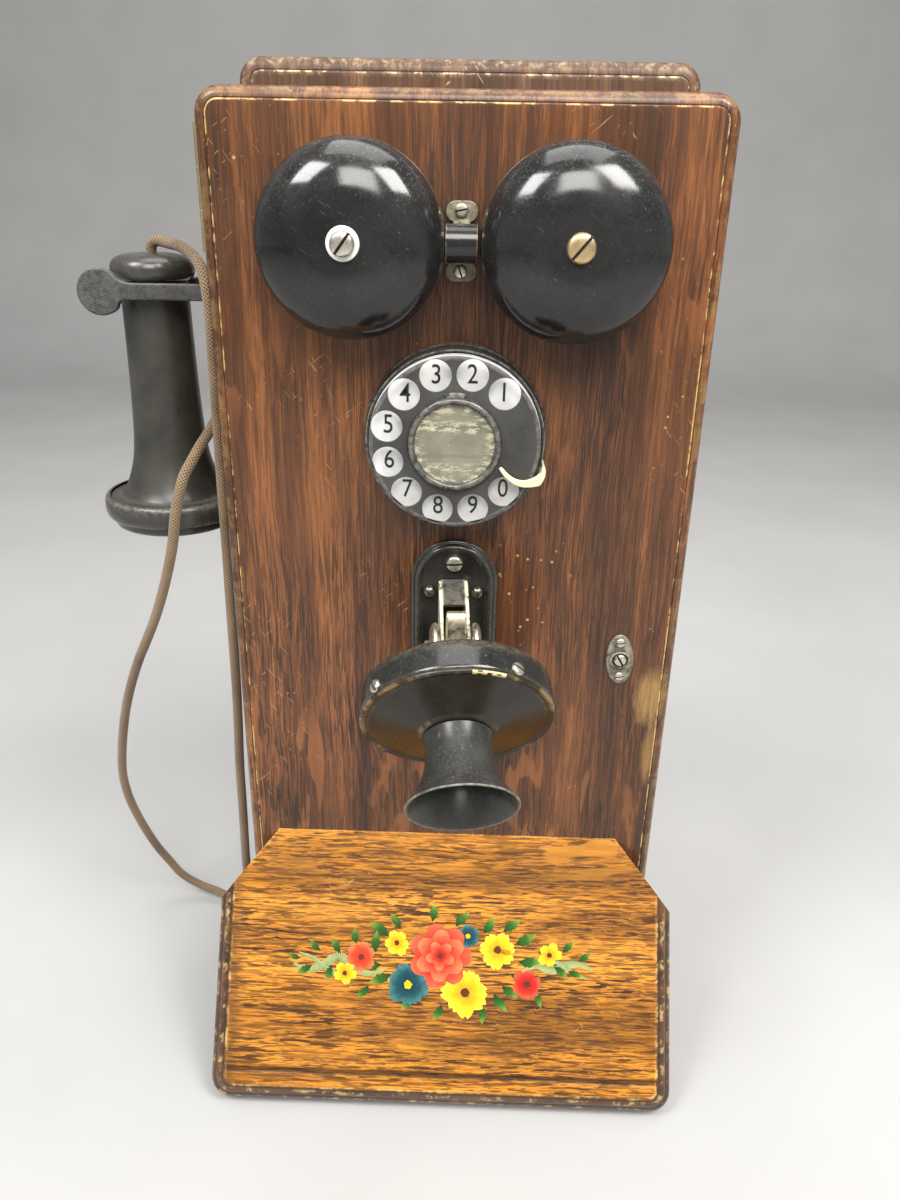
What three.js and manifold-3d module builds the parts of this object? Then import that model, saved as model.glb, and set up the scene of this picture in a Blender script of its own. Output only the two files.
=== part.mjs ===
// Compact oak wall telephone with a rotary dial, built as separate pieces.
// Millimetres, +X right, +Y towards the wall, +Z up.
// The origin is on the flat underside of the case, midway between its sides and midway through its depth.
import * as THREE from "three";
import { mergeVertices } from "three/addons/utils/BufferGeometryUtils.js";
import Module from "manifold-3d";

const wasm = await Module();
wasm.setup();

// ---------------------------------------------------------------- driving dimensions
const CASE_H = 460; // top edge of the door above the surface the telephone stands on
const DOOR_Y = -45; // front face of the door
const BACK_Y = 45; // back face of the backboard
const DOOR_W = 205.7, DOOR_T = 18, DOOR_Z0 = 3, DOOR_R = 10;
const EDGE = 4.9; // width of the rounded moulding around door and backboard
const BOARD_W = 203, BOARD_T = 17, BOARD_TOP = 478;
const BOX_HALF = 99.5, BOX_T = 11, BOX_TOP = 456, DOOR_GAP = 1;

const HINGE_X = -105.3, HINGE_Y = DOOR_Y + DOOR_T + 0.5, HINGE_R = 2.2, HINGE_PIN = 1.1;
const HINGE_LEAF = 1.4, HINGE_LEN = 48, HINGE_ZS = { upper: CASE_H - 36, lower: 44 };

const GONG_X = 42.6, GONG_Z = CASE_H - 53.2, GONG_R = 36.0, GONG_RIM = 10.3, GONG_TOP = 34;
const CLAPPER_PIVOT_Z = CASE_H - 92, CLAPPER_Y = DOOR_Y + 34, BALL_R = 4.0, BALL_H = 9.4;

const DIAL_X = -1.5, DIAL_Z = CASE_H - 129.1, DIAL_R = 38.1, WHEEL_R = 35, WHEEL_H = 17.8;
const HOLE_PITCH_R = 28.4, HOLE_R = 6.5, HOLE_FIRST = 46.46; // degrees from +X, then every 30 degrees
const CARD_RING_R = 19.1, CARD_R = 16.6;

const PLATE_X = -0.8, PLATE_W = 38.9, PLATE_TOP = CASE_H - 176, PLATE_LEN = 92;
const PIVOT = { y: DOOR_Y - 28.5, z: CASE_H - 215.5 };
const LEAN = 4.3, BRACKET_X = -1.33; // degrees: the whole bracket is set a little askew on its plate
const TILT = 31.1, SWING = 0.9, CUP_OFF = -0.85; // degrees: the transmitter faces down; its cup sits a little to the left of its arm
const CUP_R = 40, CUP_DEPTH = 15, FACE_K = 35.7; // the face edge stands this far in front of the pivot
const LIP_R = 22.7, LIP_K = FACE_K + 38, NECK_K = FACE_K + 7.5, NECK_R = 14;

const LATCH_X = 77.0, LATCH_Z = CASE_H - 233.0, LATCH_W = 12.6, LATCH_H = 25.2;

const SHELF_SLOPE = 59.8, SHELF_Z = CASE_H - 336, SHELF_X = -2, SHELF_LEN = 126, SHELF_T = 15;
const SHELF_HALF = 107.6, SHELF_BACK_HALF = 85.9, SHELF_CHAMFER = 27.3, SHELF_MOULD = 8;

const REC = { x: -139.8, y: DOOR_Y + 50 }; // axis of the hanging receiver
const REC_TOP = CASE_H - 62, FORK_TOP = CASE_H - 73.6;
const HOOK_PIVOT = { x: -72, y: DOOR_Y + 50, z: CASE_H - 80 };
const CORD_R = 2.45;

// ---------------------------------------------------------------- helpers
const D2R = Math.PI / 180;

// A geometry as a solid; its shared corners are merged, and a mirrored or inside-out one is turned round.
function solid(geometry) {
  const g = geometry.index ? geometry.toNonIndexed() : geometry;
  const bare = new THREE.BufferGeometry().setAttribute("position", g.getAttribute("position"));
  const merged = mergeVertices(bare, 1e-4);
  const make = (tri) =>
    new wasm.Manifold(new wasm.Mesh({ numProp: 3, vertProperties: merged.attributes.position.array, triVerts: tri }));
  const tri = new Uint32Array(merged.index.array);
  let s = make(tri);
  if (s.volume() < 0) {
    const flipped = new Uint32Array(tri);
    for (let i = 0; i < flipped.length; i += 3) [flipped[i + 1], flipped[i + 2]] = [tri[i + 2], tri[i + 1]];
    s = make(flipped);
  }
  return s;
}
function geometryOf(s) {
  const m = s.getMesh(), v = new Float32Array(m.numVert * 3);
  for (let i = 0; i < m.numVert; i++) v.set(m.vertProperties.subarray(i * m.numProp, i * m.numProp + 3), i * 3);
  const g = new THREE.BufferGeometry();
  g.setAttribute("position", new THREE.BufferAttribute(v, 3));
  g.setIndex(new THREE.BufferAttribute(new Uint32Array(m.triVerts), 1));
  g.computeVertexNormals();
  return g;
}
const join = (...list) => list.reduce((a, b) => a.add(b));
const cut = (a, ...list) => list.reduce((s, b) => s.subtract(b), a);

const box = (x0, x1, y0, y1, z0, z1) =>
  solid(new THREE.BoxGeometry(x1 - x0, y1 - y0, z1 - z0).translate((x0 + x1) / 2, (y0 + y1) / 2, (z0 + z1) / 2));
// cylinders along each axis, from a to b
const cylX = (r, a, b, y, z, n = 20) =>
  solid(new THREE.CylinderGeometry(r, r, b - a, n).rotateZ(Math.PI / 2).translate((a + b) / 2, y, z));
const cylY = (r, a, b, x, z, n = 20) =>
  solid(new THREE.CylinderGeometry(r, r, b - a, n).translate(x, (a + b) / 2, z));
const cylZ = (r, a, b, x, y, n = 20) =>
  solid(new THREE.CylinderGeometry(r, r, b - a, n).rotateX(Math.PI / 2).translate(x, y, (a + b) / 2));
const pts = (list) => list.map(([a, b]) => new THREE.Vector2(a, b));
// turned piece standing out from the door: heights run towards -Y
const turnedOut = (profile, n, x, y, z) =>
  solid(new THREE.LatheGeometry(pts(profile), n).rotateX(Math.PI).translate(x, y, z));
// turned piece standing upright: heights run towards +Z
const turnedUp = (profile, n, x, y, z) =>
  solid(new THREE.LatheGeometry(pts(profile), n).rotateX(Math.PI / 2).translate(x, y, z));
// outline in X and Z with its thickness from y0 to y1
const panel = (shape, y0, y1, extra = {}) =>
  solid(new THREE.ExtrudeGeometry(shape, { depth: y1 - y0, bevelEnabled: false, curveSegments: 6, ...extra })
    .rotateX(Math.PI / 2).translate(0, y1, 0));
// outline in Y and Z with its thickness from x0 to x1
const YZ = new THREE.Matrix4().makeBasis(new THREE.Vector3(0, 1, 0), new THREE.Vector3(0, 0, 1), new THREE.Vector3(1, 0, 0));
const rib = (shape, x0, x1, extra = {}) =>
  solid(new THREE.ExtrudeGeometry(shape, { depth: x1 - x0, bevelEnabled: false, curveSegments: 6, ...extra })
    .applyMatrix4(YZ).translate(x0, 0, 0));
function polygon(list) {
  const s = new THREE.Shape();
  list.forEach(([a, b], i) => (i ? s.lineTo(a, b) : s.moveTo(a, b)));
  s.closePath();
  return s;
}
function roundRect(x0, x1, z0, z1, r) {
  const s = new THREE.Shape();
  s.moveTo(x0 + r, z0);
  s.lineTo(x1 - r, z0);
  s.absarc(x1 - r, z0 + r, r, -Math.PI / 2, 0, false);
  s.lineTo(x1, z1 - r);
  s.absarc(x1 - r, z1 - r, r, 0, Math.PI / 2, false);
  s.lineTo(x0 + r, z1);
  s.absarc(x0 + r, z1 - r, r, Math.PI / 2, Math.PI, false);
  s.lineTo(x0, z0 + r);
  s.absarc(x0 + r, z0 + r, r, Math.PI, 1.5 * Math.PI, false);
  return s;
}
// board with a rounded moulding along its front edges and a square back
function mouldedBoard(x0, x1, z0, z1, yFront, yBack) {
  const inner = roundRect(x0 + EDGE, x1 - EDGE, z0 + EDGE, z1 - EDGE, DOOR_R - EDGE);
  const slab = solid(new THREE.ExtrudeGeometry(inner, {
    depth: yBack - yFront, bevelEnabled: true, bevelSize: EDGE, bevelThickness: EDGE, bevelSegments: 3, curveSegments: 3,
  }).rotateX(Math.PI / 2).translate(0, yBack + EDGE, 0));
  return slab.intersect(box(x0 - 5, x1 + 5, yFront - 1, yBack, z0 - 5, z1 + 5));
}
// slotted screw: head standing out from the door at (x, z), its underside at y, shank going in
function slottedScrew(x, y, z, r, head, shankR, shankLen, angle, n = 16) {
  const crown = turnedOut([[0, 0], [r, 0], [r, head * 0.45], [r * 0.82, head * 0.8], [r * 0.45, head], [0, head]], n, x, y, z);
  const slot = solid(new THREE.BoxGeometry(2.4 * r, head, 0.28 * r).rotateY(angle * D2R).translate(x, y - head, z));
  const body = cut(crown, slot);
  return shankLen > 0 ? join(body, cylY(shankR, y - head * 0.3, y + shankLen, x, z, 8)) : body;
}

const material = (color, roughness, metalness) => new THREE.MeshStandardMaterial({ color, roughness, metalness });
const OAK = material(0x6b3a20, 0.45, 0), GOLD_OAK = material(0xb47433, 0.4, 0), RAW_OAK = material(0x8a5a34, 0.7, 0);
const ENAMEL = material(0x141414, 0.22, 0.1), EBONITE = material(0x1d1c1b, 0.5, 0), CRACKLE = material(0x2a2a2b, 0.75, 0.1);
const NICKEL = material(0xb9b2a0, 0.35, 0.9), BRASS = material(0xb9a067, 0.4, 0.9), STEEL = material(0x7d7d7c, 0.4, 0.9);
const WHITE = material(0xf1eee6, 0.3, 0), CREAM = material(0xe3d9a6, 0.45, 0), CARD = material(0x8f8b78, 0.35, 0);
const COTTON = material(0x9a7a5c, 0.9, 0), WINDING = material(0x7a2f1c, 0.6, 0), IRON = material(0x2b2b2c, 0.6, 0.5);
const FIBRE = material(0x4a3526, 0.8, 0);

const phone = new THREE.Group();
function add(name, s, mat, parent = phone) {
  const mesh = new THREE.Mesh(geometryOf(s), mat);
  mesh.name = name;
  parent.add(mesh);
  return mesh;
}

// ---------------------------------------------------------------- case
const boxFront = DOOR_Y + DOOR_T + DOOR_GAP, boardFront = BACK_Y - BOARD_T;
add("backboard", mouldedBoard(-BOARD_W / 2, BOARD_W / 2, 0, BOARD_TOP, boardFront, BACK_Y), OAK);

// the left side has a tall slot for the hook lever, a hole for the cord, and two hinge housings in its front edge
const leafHousing = (z) => box(-BOX_HALF - 1, -BOX_HALF + BOX_T + 1, boxFront - 1, HINGE_Y + HINGE_LEAF, z - HINGE_LEN / 2, z + HINGE_LEN / 2);
const BUSH = { y: DOOR_Y + 40, z: CASE_H - 124 };
add("case_side_left", cut(
  box(-BOX_HALF, -BOX_HALF + BOX_T, boxFront, boardFront, 0, BOX_TOP),
  box(-BOX_HALF - 1, -BOX_HALF + BOX_T + 1, HOOK_PIVOT.y - 3.8, HOOK_PIVOT.y + 3.8, CASE_H - 83.5, CASE_H - 65.5),
  cylX(5.1, -BOX_HALF - 1, -BOX_HALF + BOX_T + 1, BUSH.y, BUSH.z),
  leafHousing(HINGE_ZS.upper), leafHousing(HINGE_ZS.lower)), OAK);
// the right side has a mortise in its inner face for the lock cam
add("case_side_right", cut(
  box(BOX_HALF - BOX_T, BOX_HALF, boxFront, boardFront, 0, BOX_TOP),
  box(BOX_HALF - BOX_T - 1, BOX_HALF - BOX_T + 6, DOOR_Y + DOOR_T + 5, DOOR_Y + DOOR_T + 14, LATCH_Z - 17, LATCH_Z + 17)), OAK);
add("case_top", box(-BOX_HALF + BOX_T, BOX_HALF - BOX_T, boxFront, boardFront, BOX_TOP - BOX_T, BOX_TOP), OAK);
add("case_bottom", box(-BOX_HALF + BOX_T, BOX_HALF - BOX_T, boxFront, boardFront, 0, BOX_T), OAK);

// butt hinges: the case leaf carries the middle knuckle, the door leaf the outer two and the pin
const KN = HINGE_LEN / 3;
function caseLeaf(z) {
  const y0 = HINGE_Y, y1 = HINGE_Y + HINGE_LEAF, inner = -BOX_HALF + BOX_T;
  const leaf = join(
    box(HINGE_X + HINGE_R + 0.35, inner, y0, y1, z - HINGE_LEN / 2, z + HINGE_LEN / 2),
    box(HINGE_X, inner, y0, y1, z - KN / 2 + 0.25, z + KN / 2 - 0.25),
    cylZ(HINGE_R, z - KN / 2 + 0.25, z + KN / 2 - 0.25, HINGE_X, HINGE_Y, 16));
  return cut(leaf, cylZ(HINGE_PIN + 0.2, z - HINGE_LEN, z + HINGE_LEN, HINGE_X, HINGE_Y, 12));
}
function doorLeaf(z) {
  const y0 = HINGE_Y - HINGE_LEAF, y1 = HINGE_Y, inner = -BOX_HALF + BOX_T;
  const part = (a, b) => join(box(HINGE_X, inner, y0, y1, a, b), cylZ(HINGE_R, a, b, HINGE_X, HINGE_Y, 16));
  return join(
    box(HINGE_X + HINGE_R + 0.35, inner, y0, y1, z - HINGE_LEN / 2, z + HINGE_LEN / 2),
    part(z - HINGE_LEN / 2, z - KN / 2 - 0.25), part(z + KN / 2 + 0.25, z + HINGE_LEN / 2),
    cylZ(HINGE_PIN, z - HINGE_LEN / 2 + 1, z + HINGE_LEN / 2 - 1, HINGE_X, HINGE_Y, 12));
}
for (const [name, z] of Object.entries(HINGE_ZS)) {
  add(`hinge_${name}_case_leaf`, caseLeaf(z), BRASS);
  add(`hinge_${name}_door_leaf`, doorLeaf(z), BRASS);
}

// hookswitch: a frame screwed to the inside of the left side, with the pivot pin between its cheeks
{
  const { x, y, z } = HOOK_PIVOT, wall = -BOX_HALF + BOX_T;
  const base = cut(box(wall, wall + 2, y - 11, y + 11, z - 26, z + 26), box(wall - 1, wall + 3, y - 4.2, y + 4.2, z - 8, z + 16));
  const cheek = (y0, y1) => rib(polygon([[0, 0], [1, 0], [1, 1], [0, 1]]), 0, 1).scale([x + 7 - wall - 1, y1 - y0, 20])
    .translate([wall + 1, y0, z - 12]);
  add("hookswitch_frame", join(base, cheek(y - 6.5, y - 4.5), cheek(y + 4.5, y + 6.5),
    cylY(1.5, y - 6.5, y + 6.5, x, z, 12)), STEEL);
  // contact springs clamped in an insulating block below the lever's tail
  const leaves = [0, 1, 2, 3].map((i) => box(x + 9, x + 30, y - 3.5, y + 3.5, z - 12.6 - 3.4 * i, z - 12 - 3.4 * i));
  add("hookswitch_springs", join(box(x + 24, x + 34, y - 6, y + 6, z - 26, z - 9.5), ...leaves,
    box(x + 27, x + 31, y + 5.5, boardFront, z - 24, z - 12)), NICKEL);
}
// condenser can, induction coil and terminal block on the backboard
add("condenser", panel(roundRect(-20, 42, 36, 80, 5), boardFront - 22, boardFront), STEEL);
{
  const y = boardFront - 12, z = 112;
  add("induction_coil", join(
    cylX(9.5, -8, 44, y, z, 24), cylX(4, -14, 50, y, z, 16),
    box(-10, -7, y - 11.5, boardFront, z - 12, z + 12), box(43, 46, y - 11.5, boardFront, z - 12, z + 12)), WINDING);
}
{
  const studs = [-54, -42, -30, -18].map((x) => cylY(2.4, boardFront - 15, boardFront - 8, x, 150, 12));
  add("terminal_block", join(box(-62, -10, boardFront - 9, boardFront, 141, 159), ...studs), EBONITE);
}
// bushing where the receiver cord goes into the left side
add("cord_bushing", cut(join(
  cylX(5, -BOX_HALF, -BOX_HALF + BOX_T + 1, BUSH.y, BUSH.z, 20), cylX(7, -BOX_HALF - 2, -BOX_HALF, BUSH.y, BUSH.z, 24)),
  cylX(3, -BOX_HALF - 0.4, -BOX_HALF + BOX_T + 2, BUSH.y, BUSH.z, 16)), EBONITE);

// ---------------------------------------------------------------- door
const yb = DOOR_Y + DOOR_T; // back face of the door
const doorLeafHousing = (z) => box(-DOOR_W / 2 - 1, -BOX_HALF + BOX_T, HINGE_Y - HINGE_LEAF, yb + 1, z - HINGE_LEN / 2, z + HINGE_LEN / 2);
const GONG_POST_R = 4.2;
add("door_panel", cut(mouldedBoard(-DOOR_W / 2, DOOR_W / 2, DOOR_Z0, CASE_H, DOOR_Y, yb),
  cylY(31, DOOR_Y - 1, yb + 1, DIAL_X, DIAL_Z, 40),
  cylY(GONG_POST_R + 0.4, DOOR_Y - 1, yb + 1, -GONG_X, GONG_Z, 20), cylY(GONG_POST_R + 0.4, DOOR_Y - 1, yb + 1, GONG_X, GONG_Z, 20),
  box(-6, 6, DOOR_Y - 1, yb + 1, GONG_Z - 5, GONG_Z + 5), // slot for the clapper
  cylY(3.4, DOOR_Y - 1, yb + 1, LATCH_X, LATCH_Z, 16),
  doorLeafHousing(HINGE_ZS.upper), doorLeafHousing(HINGE_ZS.lower)), OAK);

// writing shelf: its top slopes down steeply from the door; moulded on three edges, cut off plain at the back corners
const slope = SHELF_SLOPE * D2R, cs = Math.cos(slope), sn = Math.sin(slope);
const SHELF = new THREE.Matrix4().makeBasis( // across, down the slope, and out of the top face
  new THREE.Vector3(1, 0, 0), new THREE.Vector3(0, -cs, -sn), new THREE.Vector3(0, -sn, cs).negate())
  .setPosition(SHELF_X, DOOR_Y, SHELF_Z);
{
  // outline across (u) and down the slope (v); thickness runs away from the top face
  const slabAt = (grow, v1, w0, w1, r) => {
    const h = SHELF_HALF + grow, s = new THREE.Shape();
    s.moveTo(-h, -60);
    s.lineTo(h, -60);
    s.lineTo(h, v1 - r);
    s.absarc(h - r, v1 - r, r, 0, Math.PI / 2, false);
    s.lineTo(-h + r, v1);
    s.absarc(-h + r, v1 - r, r, Math.PI / 2, Math.PI, false);
    return solid(new THREE.ExtrudeGeometry(s, { depth: w1 - w0, bevelEnabled: false, curveSegments: 2 }).translate(0, 0, w0)
      .applyMatrix4(SHELF));
  };
  const cutOutline = polygon([[-SHELF_BACK_HALF, -60], [SHELF_BACK_HALF, -60], [SHELF_BACK_HALF, 0],
    [SHELF_HALF, SHELF_CHAMFER], [SHELF_HALF + 20, SHELF_CHAMFER + 25], [SHELF_HALF + 20, 200],
    [-SHELF_HALF - 20, 200], [-SHELF_HALF - 20, SHELF_CHAMFER + 25], [-SHELF_HALF, SHELF_CHAMFER]]);
  const plan = solid(new THREE.ExtrudeGeometry(cutOutline, { depth: 60, bevelEnabled: false }).translate(0, 0, -20).applyMatrix4(SHELF));
  const steps = join(
    slabAt(0, SHELF_LEN, 0, SHELF_T, 5),
    slabAt(4.2, SHELF_LEN + 4.2, 2.6, SHELF_T, 7),
    slabAt(6.2, SHELF_LEN + 6.2, 4.6, SHELF_T, 8),
    slabAt(SHELF_MOULD, SHELF_LEN + SHELF_MOULD, 7.4, SHELF_T - 1.2, 9));
  const shelf = steps.intersect(plan).intersect(box(-200, 200, -300, DOOR_Y, 0.7, 400));
  add("shelf_board", shelf, GOLD_OAK);
}
// cast brackets between the door and the underside of the shelf
for (const [name, x] of [["left", -62], ["right", 58]]) {
  const under = (v) => [DOOR_Y - v * cs + (SHELF_T + 0.3) * sn, SHELF_Z - v * sn - (SHELF_T + 0.3) * cs]; // point on the underside
  const inset = (v) => [DOOR_Y - v * cs + (SHELF_T + 3.3) * sn, SHELF_Z - v * sn - (SHELF_T + 3.3) * cs];
  const v0 = 34, v1 = 108;
  const a = under(v0), b = under(v1), b2 = inset(v1), a2 = inset(v0 + 6);
  const web = polygon([[DOOR_Y, a2[1]], [DOOR_Y, b2[1] + 22], [b2[0], b2[1] + 2], [a2[0], a2[1]]].map((p) => p));
  const footDoor = box(x - 8, x + 8, DOOR_Y - 3, DOOR_Y, b2[1] + 14, a2[1] - 2);
  const footShelf = rib(polygon([a, b, b2, inset(v0)]), x - 8, x + 8);
  const body = join(rib(web, x - 2, x + 2), footDoor, footShelf).intersect(box(-200, 200, -300, DOOR_Y, 2, 400));
  add(`shelf_bracket_${name}`, body, IRON);
}

// gongs on their posts
const gongProfile = [[2.4, GONG_TOP], [14, GONG_TOP], [24, GONG_TOP - 3.2], [32, GONG_TOP - 10.6], [GONG_R, GONG_RIM + 1.5], [GONG_R, GONG_RIM], [GONG_R - 1.7, GONG_RIM],
  [30.2, GONG_TOP - 11.6], [23, GONG_TOP - 5.2], [2.4, GONG_TOP - 2], [2.4, GONG_TOP]];
for (const [name, s] of [["left", -1], ["right", 1]]) {
  add(`gong_${name}`, turnedOut(gongProfile, 28, s * GONG_X, DOOR_Y, GONG_Z), ENAMEL);
}
// the left gong has a pale washer under its screw
add("gong_washer_left", turnedOut([[2.4, GONG_TOP], [6.2, GONG_TOP], [6.2, GONG_TOP + 0.9], [2.4, GONG_TOP + 0.9], [2.4, GONG_TOP]], 18, -GONG_X, DOOR_Y, GONG_Z), WHITE);
add("gong_screw_left", slottedScrew(-GONG_X, DOOR_Y - GONG_TOP - 0.9, GONG_Z, 4.6, 2.6, 1.9, 10, 55, 14), NICKEL);
add("gong_screw_right", slottedScrew(GONG_X, DOOR_Y - GONG_TOP, GONG_Z, 5.4, 2.0, 1.9, 10, 48, 14), BRASS);

// ringer behind the door: frame with the two gong posts, two coils, and the armature that carries the clapper
{
  const post = (x) => cut(cylY(GONG_POST_R, DOOR_Y - GONG_TOP + 2.7, yb + 1, x, GONG_Z, 16), cylY(2.1, DOOR_Y - GONG_TOP, DOOR_Y - 15, x, GONG_Z, 12));
  const plate = cut(panel(roundRect(-52, 52, CASE_H - 99, CASE_H - 36, 5), yb, yb + 2.5), box(-7, 7, yb - 1, yb + 3, CASE_H - 63, CASE_H - 44));
  // the yoke joins the coil cores at the top; a lug below holds the armature's pivot pin
  const yoke = join(box(-24, 24, CLAPPER_Y - 6, CLAPPER_Y + 6, CASE_H - 46, CASE_H - 42), box(-24, 24, yb + 1, CLAPPER_Y + 1, CASE_H - 46, CASE_H - 42));
  const lug = join(box(-4, 4, yb + 1, CLAPPER_Y - 3.4, CLAPPER_PIVOT_Z - 5, CLAPPER_PIVOT_Z + 5), cylY(1.5, CLAPPER_Y - 5, CLAPPER_Y + 4.2, 0, CLAPPER_PIVOT_Z, 12));
  add("ringer_frame", join(plate, post(-GONG_X), post(GONG_X), yoke, lug), STEEL);
  for (const [name, x] of [["left", -16.5], ["right", 16.5]]) {
    add(`ringer_coil_${name}`, turnedUp([[0, 0], [4, 0], [4, 2], [11.5, 2], [11.5, 4], [10.6, 4], [10.6, 35], [11.5, 35], [11.5, 37], [4, 37], [4, 39.4], [0, 39.4]],
      18, x, CLAPPER_Y, CASE_H - 85.6), WINDING);
  }
  const bar = cut(box(-25, 25, CLAPPER_Y - 3, CLAPPER_Y + 3, CLAPPER_PIVOT_Z - 3, CLAPPER_PIVOT_Z + 3), cylY(1.7, CLAPPER_Y - 5, CLAPPER_Y + 5, 0, CLAPPER_PIVOT_Z, 12),
    box(-30, -6, CLAPPER_Y - 4, CLAPPER_Y + 4, CLAPPER_PIVOT_Z + 1.2, CLAPPER_PIVOT_Z + 5), box(6, 30, CLAPPER_Y - 4, CLAPPER_Y + 4, CLAPPER_PIVOT_Z + 1.2, CLAPPER_PIVOT_Z + 5));
  const rod = new THREE.CurvePath();
  const p = [[0, CLAPPER_Y, CLAPPER_PIVOT_Z + 2.5], [0, CLAPPER_Y, GONG_Z - 5], [0, CLAPPER_Y - 5, GONG_Z], [0, DOOR_Y - BALL_H, GONG_Z]].map((a) => new THREE.Vector3(...a));
  rod.add(new THREE.LineCurve3(p[0], p[1]));
  rod.add(new THREE.QuadraticBezierCurve3(p[1], new THREE.Vector3(0, CLAPPER_Y, GONG_Z), p[2]));
  rod.add(new THREE.LineCurve3(p[2], p[3]));
  const wire = (path, steps) => solid(new THREE.ExtrudeGeometry(polygon([...Array(8)].map((_, i) => [1.3 * Math.cos(i * Math.PI / 4), 1.3 * Math.sin(i * Math.PI / 4)])), { steps, bevelEnabled: false, extrudePath: path }));
  const ball = solid(new THREE.SphereGeometry(BALL_R, 12, 8).translate(0, DOOR_Y - BALL_H, GONG_Z));
  add("clapper", join(bar, wire(rod, 10), ball), STEEL);
}
// hood over the clapper: a bowed strap, open at both sides, with a lug above and below
{
  const z = GONG_Z - 0.4, out = (h) => DOOR_Y - h, T = 1.2, H = 15.6;
  const shape = polygon([[out(0), z + 7.1], [out(9), z + 7.1], [out(13), z + 5.8], [out(15.1), z + 2.8], [out(H), z], [out(15.1), z - 2.8], [out(13), z - 5.8], [out(9), z - 7.1], [out(0), z - 7.1],
    [out(0), z - 7.1 + T], [out(8.6), z - 7.1 + T], [out(12.2), z - 4.9], [out(14), z - 2.2], [out(H - T), z], [out(14), z + 2.2], [out(12.2), z + 4.9], [out(8.6), z + 7.1 - T], [out(0), z + 7.1 - T]]);
  const lug = (zc, zn, zs) => cut(join(panel(roundRect(-6.8, 5.5, zc - 3.9, zc + 3.9, 3.8), out(1.3), DOOR_Y), box(-4.0, 2.6, out(1.3), DOOR_Y, Math.min(zc, zn), Math.max(zc, zn))), cylY(1.7, out(3), DOOR_Y + 1, -0.9, zs, 12));
  add("clapper_hood", join(rib(shape, -6.4, 5.6), lug(z + 10.9, z + 7, z + 11.4), lug(z - 10.7, z - 7, z - 10.9)), ENAMEL);
  add("hood_screw_top", slottedScrew(-0.9, out(1.3), z + 11.4, 2.6, 1.3, 1.4, 0.9, -20, 10), NICKEL);
  add("hood_screw_bottom", slottedScrew(-0.9, out(1.3), z - 10.9, 2.6, 1.3, 1.4, 0.9, 35, 10), NICKEL);
}

// dial: fixed base, number plate, mechanism and finger stop
{
  const x = DIAL_X, z = DIAL_Z;
  add("dial_base", turnedOut([[31.4, 0], [DIAL_R - 0.6, 0], [DIAL_R, 1], [DIAL_R, 4.4], [36.9, 6], [36.9, 13], [35.7, 13], [35.7, 10.9], [31.4, 10.9], [31.4, 0]], 36, x, DOOR_Y, z), ENAMEL);
  add("number_plate", turnedOut([[5.5, 11.1], [35.4, 11.1], [35.4, 12.1], [5.5, 12.1], [5.5, 11.1]], 32, x, DOOR_Y, z), WHITE);
  add("dial_mechanism", cut(join(
    turnedOut([[0, 10.8], [31, 10.8], [31, 5], [27, 5], [27, -20], [15, -20], [15, -34], [0, -34], [0, 10.8]], 28, x, DOOR_Y, z),
    box(x - 24, x + 4, DOOR_Y + 19, DOOR_Y + 30, z - 20, z - 6)), cylY(3.4, DOOR_Y - 12, DOOR_Y + 20, x, z, 20)), STEEL);
  // finger stop: a bright crescent over the edge of the wheel, with a foot down to the base
  const stop = new THREE.Shape();
  stop.moveTo(18.4, -9.2);
  stop.quadraticCurveTo(19.6, -8.0, 20.6, -9.4);
  stop.quadraticCurveTo(27.6, -17.6, 35.9, -9.9);
  stop.lineTo(35.8, -7.4);
  stop.lineTo(37.4, -8.4);
  stop.lineTo(37.7, -11.0);
  stop.lineTo(35.6, -15.9);
  stop.quadraticCurveTo(30, -16.9, 26.6, -16.2);
  stop.quadraticCurveTo(21.6, -14.6, 18.4, -9.2);
  const crescent = solid(new THREE.ExtrudeGeometry(stop, { depth: 1.4, bevelEnabled: false, curveSegments: 6 }).rotateX(Math.PI / 2).translate(x, DOOR_Y - 18.9, z));
  const foot = solid(new THREE.BoxGeometry(1.3, 14.2, 6).rotateY(19 * D2R).translate(x + 36.35 * 1.0 + 0.55, DOOR_Y - 13.1 - 0.1, z - 12.3));
  add("finger_stop", cut(join(crescent, foot), turnedOut([[0, 5.9], [36.98, 5.9], [36.98, 13.3], [0, 13.3]], 36, x, DOOR_Y, z),
    turnedOut([[0, 0], [40, 0], [40, 6.2], [0, 6.2]], 36, x, DOOR_Y, z)), CREAM);

  // turning part: finger wheel with its spindle, card ring and number card
  const rim = turnedOut([[0, WHEEL_H - 1.6], [WHEEL_R - 0.8, WHEEL_H - 1.6], [WHEEL_R, WHEEL_H - 0.8], [WHEEL_R - 0.6, WHEEL_H], [0, WHEEL_H]], 36, x, DOOR_Y, z);
  const holes = [...Array(10)].map((_, i) => {
    const a = (HOLE_FIRST + 30 * i) * D2R;
    return cylY(HOLE_R, DOOR_Y - WHEEL_H - 2, DOOR_Y - WHEEL_H + 4, x + HOLE_PITCH_R * Math.cos(a), z + HOLE_PITCH_R * Math.sin(a), 12);
  });
  const spindle = cylY(3, DOOR_Y - WHEEL_H + 1, DOOR_Y + 16, x, z, 16);
  add("finger_wheel", join(cut(rim, ...holes), spindle), EBONITE);
  add("card_ring", turnedOut([[CARD_R, WHEEL_H], [CARD_RING_R, WHEEL_H], [CARD_RING_R, WHEEL_H + 1.2], [CARD_RING_R - 1, WHEEL_H + 2.2], [CARD_R, WHEEL_H + 2.2], [CARD_R, WHEEL_H]], 30, x, DOOR_Y, z), ENAMEL);
  add("number_card", turnedOut([[0, WHEEL_H], [CARD_R - 0.2, WHEEL_H], [CARD_R - 0.2, WHEEL_H + 0.9], [0, WHEEL_H + 1.3]], 24, x, DOOR_Y, z), CARD);
}

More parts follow.
